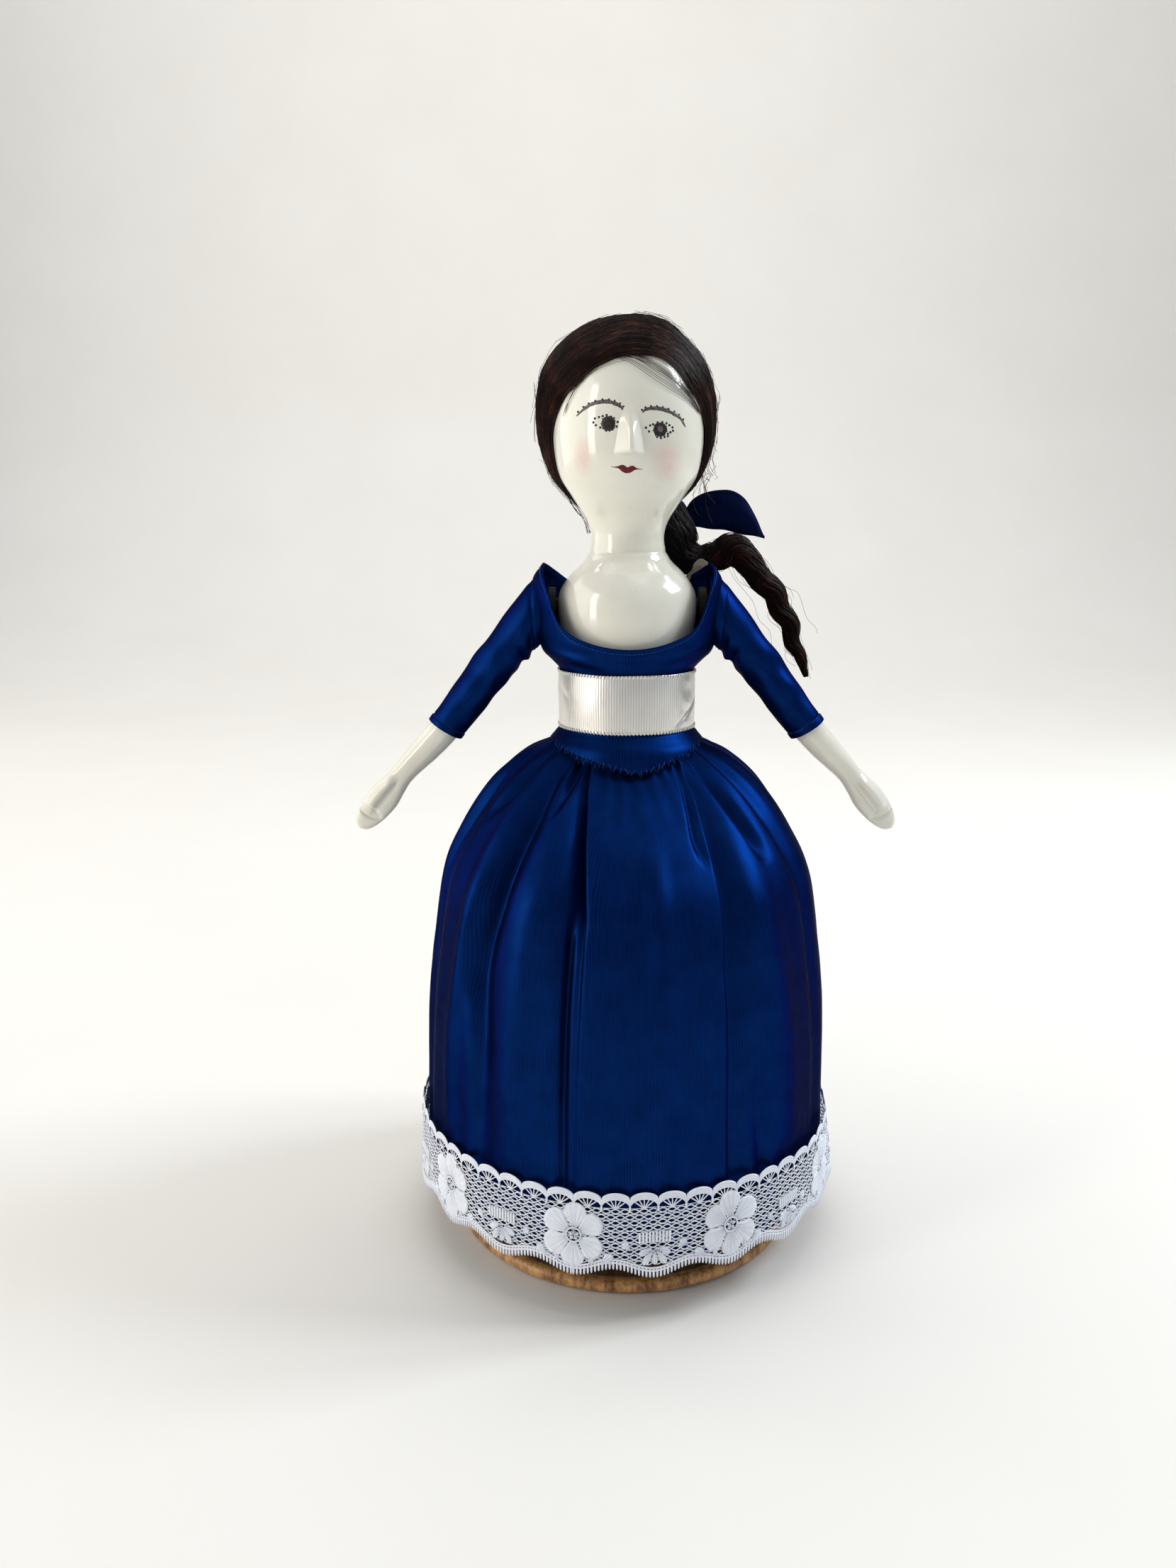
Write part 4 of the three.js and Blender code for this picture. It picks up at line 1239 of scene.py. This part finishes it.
def wrap_lace(points):
    """From along, up and proud of the strip to its place round the hem."""
    along, up, proud = points.T
    turn = np.radians(FIRST_FLOWER) + along / LACE_RADIUS
    degrees = (np.degrees(turn) + 180) % 360 - 180
    loose = 3.4 * hump(degrees, 80, 10) * (1 - up / 30)
    loose = loose + 1.5 * hump(degrees, -84, 12) * (1 - up / 30)
    wavy = 0.35 * ripple(3 * np.cos(turn), 3 * np.sin(turn), 77) + 0.2 * np.sin(turn * 18 + up / 9)
    radius = LACE_RADIUS + proud + wavy + loose - 0.3 * ease((up - 24) / 6)
    droop = 0.8 * ripple(2 * np.cos(turn), 2 * np.sin(turn), 78)
    return around(turn, radius, LACE_LOW + TALL * up + droop)


def strip(net, along, up, proud, half_width, sides=4):
    """A flat thread on the lace."""
    paths = np.stack(np.broadcast_arrays(along, up, proud), -1).astype(float)
    if paths.ndim == 2:
        paths = paths[None]
    net.tubes(paths, half_width, sides, UP_FROM_CLOTH, 0.55)


def lobe(net, centre, bearing, near, far, half_angle, ribs=5, proud=0.5):
    """A ribbed petal: a thin closed pad, round at its outer end."""
    across = np.linspace(-1, 1, 15)
    out = np.linspace(0, 1, 9)[:, None]
    reach = near + (far - near) * out * (1 - 0.42 * np.abs(across) ** 2.6)
    turn = np.radians(bearing) + math.radians(half_angle) * across * (0.75 + 0.25 * out)
    x = centre[0] + reach * np.cos(turn)
    z = centre[1] + reach * np.sin(turn)
    rib = 0.26 * np.cos(across * ribs * np.pi) - 0.16 * np.abs(across) ** 4 + 0.12 * np.sin(np.pi * out)
    top = np.stack([x, z, proud + rib], -1)
    bottom = np.stack([x, z, proud - 0.4 + 0 * rib], -1)
    net.closed(np.concatenate([top, bottom[:, ::-1]], axis=1))


def scalloped_top(net):
    """A row of arches, each with five short rays."""
    count = 52
    pitch = LACE_LONG / count
    t = np.linspace(0, 1, count * 14 + 1)
    phase = (t * count) % 1
    arch = np.sqrt(np.maximum(0, 1 - (2 * phase - 1) ** 2 * 0.96))
    for drop, width in ((0, 0.52), (0.85, 0.5), (1.6, 0.42)):
        strip(net, t * LACE_LONG, 26.8 + 2.9 * arch - drop, 0.42, width, sides=5)
    for k in range(count):
        middle = (k + 0.5) * pitch
        for lean in (-0.82, -0.42, 0, 0.42, 0.82):
            s = np.linspace(0, 1, 4)
            up = 24.6 + s * (3.4 - 1.1 * abs(lean))
            strip(net, middle + lean * pitch * 0.42 * s, up, 0.3, 0.26)
        strip(net, k * pitch + 0 * s, np.linspace(23.6, 27.4, 4), 0.36, 0.46)


def net_ground(net):
    """Rows of crossing wavy threads that leave eye-shaped holes."""
    cells = 78
    s = np.linspace(0, LACE_LONG, cells * 11 + 1)
    for row, up in enumerate(np.arange(5.2, 25.6, 2.05)):
        phase = 2 * np.pi * cells * s / LACE_LONG + row * np.pi / 2
        for sign in (-1, 1):
            strip(net, s, up + sign * 0.78 * np.cos(phase), 0.12 + 0.06 * sign * np.sin(phase), 0.25)
        strip(net, s[::2], up + 1.02 + 0.12 * np.sin(phase[::2] * 0.5), 0.1, 0.17, sides=3)


def flowers(net):
    """Six-petal flowers with leaves, and a fan between each two."""
    for k in range(REPEATS):
        middle = (k * REPEAT, 14.2)
        for petal in range(6):
            bearing = petal * 60 + 30 + random.uniform(-4, 4)
            lobe(net, middle, bearing, 2.9, random.uniform(11.4, 12.6), 32)
        for petal in range(5):
            lobe(net, middle, 18 + petal * 72, 0.4, 1.9, 24, ribs=2, proud=0.62)
        turn = np.linspace(0, 2 * np.pi, 25)
        strip(net, middle[0] + 2.7 * np.cos(turn), middle[1] + 2.5 * np.sin(turn), 0.62, 0.34)
        for side in (-1, 1):
            lobe(net, (middle[0] + side * 9.5, 4.6), 90 - side * 52, 0.5, 5.6, 24, ribs=3)
            lobe(net, (middle[0] + side * 5.5, 3.4), 90 - side * 20, 0.2, 3.4, 26, ribs=3)
        fan = (middle[0] + REPEAT / 2, 10.6)
        for bearing in (-158, -124, -90, -56, -22):
            far = 7.2 - 1.2 * abs(abs(bearing + 90) - 34) / 34
            lobe(net, fan, bearing, 1.2, far, 15, ribs=3)
        for x in np.arange(-5.4, 5.5, 1.2):
            up = np.linspace(12.6, 16.4, 5)
            strip(net, fan[0] + x + 0 * up, up - 0.05 * abs(x), 0.5, 0.56)
        for side in (-1, 1):
            lobe(net, (fan[0] + side * 8.5, 9.5), 90 - side * 40, 0.4, 4.2, 26, ribs=3)


def picot_edge(net):
    """Two cords along the waved lower edge, and short picots across them."""

    def low_edge(s):
        return 2.3 - 1.5 * np.cos(4 * np.pi * s / REPEAT)

    s = np.linspace(0, LACE_LONG, 900)
    for rise, width in ((1.5, 0.45), (2.5, 0.4)):
        strip(net, s, low_edge(s) + rise, 0.42, width)
    s = np.arange(0, LACE_LONG, 1.3)[:, None]
    t = np.linspace(-0.9, 2.6, 5)[None, :]
    taper = np.array([0.3, 0.5, 0.52, 0.5, 0.4])
    paths = np.stack(np.broadcast_arrays(s, low_edge(s) + t, 0.4 + 0.1 * np.cos(t)), -1)
    net.tubes(paths, taper[None, :], 4, UP_FROM_CLOTH, 0.6)


def lace():
    net = Net()
    net_ground(net)
    scalloped_top(net)
    flowers(net)
    picot_edge(net)
    net.bend(wrap_lace)
    piece = net.object("lace_hem", LACE_THREAD)
    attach(piece, "doll")
    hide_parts("lace_trim")


hip_roll()
petticoat()
skirt()
bodice()
facing()
sash()
lace()


# ---- hair ---------------------------------------------------------------------------------------

HEAD_MIDDLE = np.array([0, 0, 318.0])
HAIRLINE = [
    (-13.6, 9, 279.5), (-19.4, 6, 287), (-23.4, 3.0, 294), (-26.9, 0.2, 303.7), (-27.7, -3, 311.5),
    (-27.0, -7, 317), (-25.2, -11.6, 322.2), (-22.4, -15, 326.8), (-19, -18, 329.2),
    (-14, -20, 333.2), (-9, -21.5, 335.9), (-4, -21.8, 337.7), (0.5, -21.8, 338.6),
    (5, -21.4, 338.6), (10.5, -19.2, 337), (16.6, -17.4, 332.4), (20.8, -16.6, 327.7),
    (24.2, -12.6, 324), (26.4, -8.6, 319), (27.3, -5, 312.7), (27.2, -1, 303.7), (24.6, 4, 295.5),
    (20.4, 7, 288), (15, 9, 280),
]
CROWN_LINE = [
    (-13, 13, 280), (-21.5, 13, 290), (-26, 12, 301), (-27, 10, 311), (-25.5, 9, 325), (-20, 8.5, 336),
    (-11, 8, 345), (0, 7, 350), (11, 8, 345), (20, 8.5, 336), (25.5, 9, 325), (27, 10, 311),
    (26, 12, 301), (21.5, 13, 290), (14, 13, 281),
]
NAPE_LINE = [
    (-11, 16, 279.5), (-14, 20, 285), (-12, 24, 289), (-6, 27, 290), (0, 28, 290), (6, 27, 290),
    (12, 24, 289), (15, 20, 285), (13, 16, 280),
]
# Share of the way from the viewer's left to right over the head, and the hair's depth there.
HAIR_DEPTH = table(
    [
        (0, 0.5), (0.06, 1.0), (0.11, 2.4), (0.165, 4.5), (0.21, 5.9), (0.26, 6.5), (0.32, 7.0),
        (0.38, 5.4), (0.44, 3.4), (0.5, 3.0), (0.56, 3.7), (0.62, 3.6), (0.68, 4.6), (0.76, 4.4),
        (0.83, 3.4), (0.9, 2.2), (0.95, 1.4), (1, 0.5),
    ]
)


def even_path(points):
    """A function of 0 to 1 that runs along a smooth curve at an even pace."""
    dense = smooth_path(points, 400)
    reach = run_length(dense)
    reach = reach / reach[-1]
    return lambda u: np.stack([np.interp(u, reach, dense[:, k]) for k in range(3)], -1)


HAIR_LINES = [even_path(points) for points in (HAIRLINE, CROWN_LINE, NAPE_LINE)]
# The head's profile seen from its middle: angle above the level, and distance.
RISE = np.arctan2(BODY_PROFILE[:, 1] - HEAD_MIDDLE[2], BODY_PROFILE[:, 0])
REACH = np.hypot(BODY_PROFILE[:, 1] - HEAD_MIDDLE[2], BODY_PROFILE[:, 0])
RISE, REACH = RISE[REACH < 60], REACH[REACH < 60]


def hair_points(u, w, lift=0.0, on_head=False):
    """Points of the combed hair: u runs over the head from side to side, w from face to nape."""
    u, w = np.broadcast_arrays(np.asarray(u, float), np.asarray(w, float))
    front, crown, nape = (line(u) for line in HAIR_LINES)
    v = w[..., None]
    at = front * (1 - v) * (1 - 2 * v) + crown * 4 * v * (1 - v) + nape * v * (2 * v - 1)
    out = unit(at - HEAD_MIDDLE)
    rise = np.arctan2(out[..., 2], np.hypot(out[..., 0], out[..., 1]))
    reach = np.interp(rise, RISE, REACH)
    if on_head:
        depth = 0.25 + 0 * u
    else:
        swell = 1 - np.exp(-np.maximum(w, 0) / 0.075)
        depth = 0.35 + HAIR_DEPTH(u) * swell * (1 - 0.25 * ease((w - 0.6) / 0.4))
        locks = 0.34 * ripple(w * 34, u * 2.2, 51) + 0.2 * ripple(w * 90, u * 3, 52)
        locks = locks + 0.4 * ripple(w * 7, u * 13, 53)
        depth = depth + locks * np.minimum(1, swell * 1.4) * ease(u / 0.08) * ease((1 - u) / 0.08)
    return HEAD_MIDDLE + out * (reach + depth + lift)[..., None]


def hair_cap():
    """The mass of combed hair, closed against the head."""
    u = np.linspace(0, 1, 170)[:, None]
    w = np.linspace(0, 1, 150)[None, :]
    outer = hair_points(u, w)
    inner = hair_points(u, w[:, ::-6], on_head=True)
    net = Net()
    rows = np.concatenate([outer, inner], axis=1)
    flat = np.zeros(rows.shape)
    flat[..., 0] = u * 110
    flat[..., 1] = np.concatenate([w, w[:, ::-6]], axis=1) * 90
    net.closed(rows, flat=flat)
    piece = net.object("combed_hair", HAIR)
    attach(piece, "doll")
    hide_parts("hair_cap")


def strands(many, long=34):
    """Paths of single hairs that follow the combing, each a little astray."""
    start = random.uniform(0, 0.45, (many, 1)) * (random.random((many, 1)) < 0.5)
    end = 1 - random.uniform(0, 0.45, (many, 1)) * (random.random((many, 1)) < 0.5)
    t = np.linspace(0, 1, long)[None, :]
    u = start + (end - start) * t
    w = random.beta(0.9, 1.1, (many, 1))
    drift = random.normal(0, 0.018, (many, 1)) * (t - 0.5)
    sway = random.normal(0, 0.006, (many, 1))
    phase = t * random.uniform(3, 9, (many, 1)) + random.uniform(0, 6, (many, 1))
    sway = sway * np.sin(phase)
    lift = random.uniform(-0.05, 0.34, (many, 1)) + 0.15 * np.sin(np.pi * t)
    return hair_points(u, np.clip(w + drift + sway, -0.012, 1), lift)


def edge_strands(many, long=30):
    """Finer hairs along the face, where the comb left them loose."""
    start = random.uniform(0.05, 0.7, (many, 1))
    t = np.linspace(0, 1, long)[None, :]
    u = np.clip(start + random.uniform(0.12, 0.3, (many, 1)) * t, 0, 1)
    w = random.uniform(-0.012, 0.03, (many, 1)) + random.normal(0, 0.01, (many, 1)) * t
    return hair_points(u, w, random.uniform(0.05, 0.5, (many, 1)) + 0 * t)


def flyaways(many, long=22):
    """Short fine hairs that stand off the combed mass."""
    start = random.uniform(0.12, 0.85, (many, 1))
    t = np.linspace(0, 1, long)[None, :]
    u = np.clip(start + random.uniform(-0.16, 0.16, (many, 1)) * t, 0, 1)
    w = random.uniform(0.05, 0.95, (many, 1)) + random.normal(0, 0.05, (many, 1)) * t
    return hair_points(u, np.clip(w, 0, 1), 0.2 + random.uniform(0.3, 2.4, (many, 1)) * t**1.5)


def loose_strands():
    """Wisps over the viewer's right of the forehead, down the jaw and behind the ear."""
    t = np.linspace(0, 1, 30)
    paths = []
    arch = np.sin(np.pi * t)
    over = [(-6, 338.6), (1.5, 337.2), (8, 333.8), (14, 330), (20, 325.4), (25.6, 319)]
    over = smooth_path(over, 30)
    for k in range(15):
        spread = random.normal(0.2, 1.5) * (0.35 * (1 - t) + 0.9 * arch)
        spread = spread + random.uniform(0, 3.6) * arch**2 * (k % 2)
        x, z = over[:, 0] + spread * 0.5, over[:, 1] + spread * 0.85
        reach = body_radius(z) - 0.4
        x = np.clip(x, -reach, reach)
        paths.append(on_face(x, z, 0.4 + 0.7 * arch * random.random()))
    temple = smooth_path([(-12, 334), (-17.5, 330), (-21.5, 324.6), (-23.6, 320.4)], 30)
    for _ in range(4):
        slip = random.uniform(-0.8, 1.2)
        x = temple[:, 0] + slip + t * random.uniform(-1, 1.4)
        z = temple[:, 1] - slip - t * random.uniform(0, 2)
        paths.append(on_face(x, z, 0.35 + 0.3 * arch))
    for _ in range(7):
        jaw = [(-25.4, 1.5, 299), (-22.4, 2, 291), (-18.6, 3, 286), (-15.6, 4, 282), (-13.8, 5, 277)]
        path = smooth_path(np.array(jaw) + random.normal(0, 0.3, (5, 3)), 30)
        out = unit(path * (1, 1, 0))
        paths.append(path + out * (0.3 + 1.1 * t[:, None] * random.random()))
    for _ in range(34):
        at = np.array([random.uniform(26.6, 31), random.uniform(-2, 8), random.uniform(294, 322)])
        curl = random.uniform(0.8, 2.1)
        turn = t * random.uniform(2, 6) + random.uniform(0, 6)
        fall = np.stack([2 + curl * np.cos(turn), curl * np.sin(turn), -10 * t + 2 * np.sin(turn)], -1)
        paths.append(at + fall - fall[0])
    return paths


def bundle(net, stations, many, twist, thin, wave, long=70):
    """A hank of hair along (x, y, z, radius) stations: a dark core and twisting strands."""
    line = smooth_path(stations, long)
    path, radius = line[:, :3], line[:, 3]
    along = unit(np.gradient(path, axis=0))
    side = unit(np.cross(along, (0, 1, 0.15)))
    back = np.cross(side, along)
    t = np.linspace(0, 1, long)
    net.tubes([path], radius[None, :] * 0.86, sides=20, up=(0, 1, 0.15))
    paths = []
    for _ in range(many):
        share = 0.8 + 0.24 * random.random()
        turn = random.uniform(0, 2 * np.pi) + twist * t + 0.5 * np.sin(t * random.uniform(3, 9))
        reach = radius * (share + 0.06 * np.sin(t * random.uniform(8, 22) + random.uniform(0, 6)))
        kink = wave * 0.3 * np.sin(t * 38 + random.normal(0, 0.5))
        offset = side * (reach * np.cos(turn) + kink)[:, None]
        offset = offset + back * (reach * np.sin(turn))[:, None]
        paths.append(path + offset)
    taper = np.sqrt(np.maximum(0.1, 1 - t**6))[None, :]
    net.tubes(paths, thin * random.uniform(0.7, 1.3, (many, 1)) * taper)


# Along the gathered hair and the tail: x, y, height and radius.
GATHER = [
    (-4, 23, 291, 7), (4, 25, 289, 9), (12, 25, 284, 10), (18.6, 25, 276.5, 9.3),
    (23, 25.5, 269, 7.4), (29, 26, 266.4, 6), (34, 26, 267.6, 5.4),
]
TAIL = [
    (30, 26, 266.4, 4.8), (36, 26, 267.8, 5.6), (42, 26.4, 270.6, 5.8), (47.2, 26, 268.4, 5.6),
    (51, 25.6, 263, 4.9), (55.4, 26, 258.4, 4.6), (60.2, 26.4, 253.4, 4.3), (63, 26, 246.6, 3.9),
    (67, 25.6, 240.6, 3.5), (68.6, 26, 232.6, 2.8), (72.4, 26.2, 226.4, 2.0), (74.4, 26, 219.4, 0.7),
]


def hair():
    """Cap, loose hairs, the gathered roll behind the ear and the wavy tail."""
    hair_cap()
    net = Net()
    net.tubes(strands(1300), random.uniform(0.08, 0.17, (1300, 1)))
    net.tubes(edge_strands(150), random.uniform(0.06, 0.11, (150, 1)))
    net.tubes(flyaways(300), 0.075)
    net.tubes(loose_strands(), 0.085)
    loose = net.object("hair_strands", HAIR)
    gather = Net()
    bundle(gather, GATHER, 330, 2.2, 0.15, wave=0.3)
    # The gathered roll takes the darker hair copy, painted shade behind the ear.
    roll = gather.object("hair_gather", SHADED_HAIR)
    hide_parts("hair_knot")
    tail = Net()
    bundle(tail, TAIL, 420, 5.5, 0.14, wave=1.3, long=84)
    for _ in range(26):
        astray = np.array(TAIL)[:, :3] + random.normal(0, 1.1, (len(TAIL), 3))
        side = random.normal(0, 3.2, 3) * (1, 0.5, 1)
        path = smooth_path(astray + side, 60)[random.integers(0, 24) :][:36]
        tail.tubes([path], 0.07)
    ponytail = tail.object("wavy_ponytail", HAIR)
    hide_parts("ponytail")
    for piece in (loose, roll, ponytail):
        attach(piece, "doll")


# ---- bow ----------------------------------------------------------------------------------------

# The big loop in front view: x, lower edge and upper edge of the ribbon.
BIG_LOOP = [
    (23.6, 279.6, 284), (26.6, 279.4, 289.4), (31, 279.2, 292.4), (37, 278.6, 293.8),
    (43, 277.6, 293.6), (48, 276.6, 290.6), (52, 275.8, 284.6), (55, 275.1, 278.6),
    (56.6, 274.8, 275.9),
]
BOW_Y = 34.6
LOOP_FOOT = (25, BOW_Y, 283)


def bow_loop(name, node, sign, scale):
    """A ribbon that leaves the knot, folds over at its far end and comes back behind."""
    shape = smooth_path(BIG_LOOP, 60)
    v = np.linspace(0, 1, 26)[None, :]
    rows, flat = [], []
    for layer in (0, 1):
        order = slice(None) if layer == 0 else slice(None, None, -1)
        x, low, high = (column[order][:, None] for column in shape.T)
        t = (x - 23.6) / 33
        crumple = 0.55 * np.sin(9 * v + 2.2 * t + 1) * (1 - t) ** 1.5
        crumple = crumple + 0.3 * ripple(t * 6, v * 5, 71 + layer)
        belly = 2.6 * np.sin(np.pi * np.clip(t, 0, 1)) ** 0.7 * np.sin(np.pi * (0.12 + 0.8 * v))
        y = 33.6 - belly - crumple if layer == 0 else 35.6 + 0.5 * belly + crumple
        close = ease((t - 0.9) / 0.1)
        y = y * (1 - close) + BOW_Y * close
        z = low + (high - low) * v - (0.9 * layer) * v * (1 - close)
        z = z + 0.25 * np.sin(x * 0.5) * (1 - v)
        rows.append(np.stack([x + 0 * v, y, z], -1))
        flat.append(on_cloth(t * 34 + 34 * layer, v * 17))
    rows = np.concatenate([rows[0], rows[1][1:]])
    flat = np.concatenate([flat[0], flat[1][1:]])
    rows = (rows - LOOP_FOOT) * (sign * scale, 1, 0.5 + 0.5 * scale) + LOOP_FOOT
    net = Net()
    net.grid(rows, flat=flat, flip=sign < 0)
    piece = thicken(net.object(name, RIBBON), RIBBON_THICK)
    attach(piece, "doll")
    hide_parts(node)


def bow_wrap():
    """The turn of ribbon that pinches the loops together."""
    turn = np.linspace(0, 2 * np.pi, 73)[:-1]
    rows = []
    for x in np.linspace(-1, 1, 24):
        bulge = (1 - abs(x) ** 3.2) ** 0.5
        crumple = 0.28 * np.sin(x * 7 + 1.2 * np.cos(turn)) + 0.1 * ripple(turn * 1.0, x * 3, 91)
        y = BOW_Y + (2.4 + 1.1 * bulge + crumple) * np.cos(turn)
        z = 282.4 + (3.4 + 1.5 * bulge + crumple) * np.sin(turn)
        rows.append(np.stack([25 + 3.1 * x + 0 * turn, y, z], -1))
    net = Net()
    net.closed(rows)
    piece = net.object("bow_wrap", RIBBON)
    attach(piece, "doll")
    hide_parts("bow_knot")


hair()
bow_wrap()
bow_loop("bow_loop_big", "bow_loop_left", 1, 1.0)
bow_loop("bow_loop_small", "bow_loop_right", -1, 0.66)


# ---- camera, floor and light ------------------------------------------------------------------

FOCAL_SHARE = 1661 / 2212  # focal length as a share of the picture's long side
CAMERA_PLACE, CAMERA_DIP = (-0.015, -0.455, 0.281), 12.5


def camera():
    lens = bpy.data.cameras.new("camera")
    lens.sensor_width = 36
    lens.lens = 36 * FOCAL_SHARE
    made = bpy.data.objects.new("camera", lens)
    made.location = CAMERA_PLACE
    made.rotation_euler = (math.radians(90 - CAMERA_DIP), 0, 0)
    bpy.context.scene.collection.objects.link(made)
    bpy.context.scene.camera = made


def floor():
    """A plain pale floor that curves up into a backdrop far behind."""
    look = Look("studio_paper", roughness=0.85)
    soft = look.noise(look.place, 6, 2)
    look.set("Base Color", look.mix(soft, srgb(232, 229, 222), srgb(238, 236, 230)))
    bend = [(0.9, 0), (1.4, 0.02), (1.75, 0.14), (1.95, 0.4), (2.0, 0.8), (2.0, 2.6)]
    profile = np.vstack([[(-2.2, 0)], smooth_path(bend, 40)]) / MM
    rows = [[(x, y, z) for x in np.linspace(-3200, 3200, 9)] for y, z in profile]
    net = Net()
    net.grid(rows)
    piece = net.object("studio_floor", look.material)


def area_light(name, place, target, size, power, colour):
    light = bpy.data.lights.new(name, "AREA")
    light.shape = "RECTANGLE"
    light.size, light.size_y = size
    light.energy = power
    light.color = colour
    made = bpy.data.objects.new(name, light)
    made.location = place
    made.rotation_mode = "QUATERNION"
    made.rotation_quaternion = (Vector(target) - Vector(place)).to_track_quat("-Z", "Y")
    bpy.context.scene.collection.objects.link(made)


def lights():
    world = bpy.data.worlds.new("studio")
    world.use_nodes = True
    world.node_tree.nodes["Background"].inputs["Color"].default_value = (0.86, 0.9, 1.0, 1)
    world.node_tree.nodes["Background"].inputs["Strength"].default_value = 0.42
    bpy.context.scene.world = world
    bpy.context.scene.view_settings.view_transform = "Standard"
    middle = (0, 0, 0.2)
    area_light("window_left", (-1.25, -0.75, 0.36), middle, (0.3, 1.6), 8.6, (1, 0.95, 0.86))
    area_light("side_left", (-1.5, 0.2, 0.5), middle, (1.7, 1.8), 13.5, (1, 0.96, 0.9))
    panes = [(1.2, 0.0, 1.3), (1.15, 0.3, 1.3), (1.2, 0.0, 1.0), (1.15, 0.3, 1.0)]
    for k, place in enumerate(panes):
        area_light(f"window_right_{k}", place, middle, (0.24, 0.26), 3.5, (0.88, 0.94, 1))
    area_light("soft_top", (0.1, 0.2, 1.6), middle, (1.4, 1.2), 5, (1, 0.98, 0.95))
    area_light("backdrop_wash", (0, 0.9, 2.2), (0, 1.9, 0.5), (2.4, 0.6), 16, (1, 0.98, 0.94))


camera()
floor()
lights()
finish_cad_nodes()
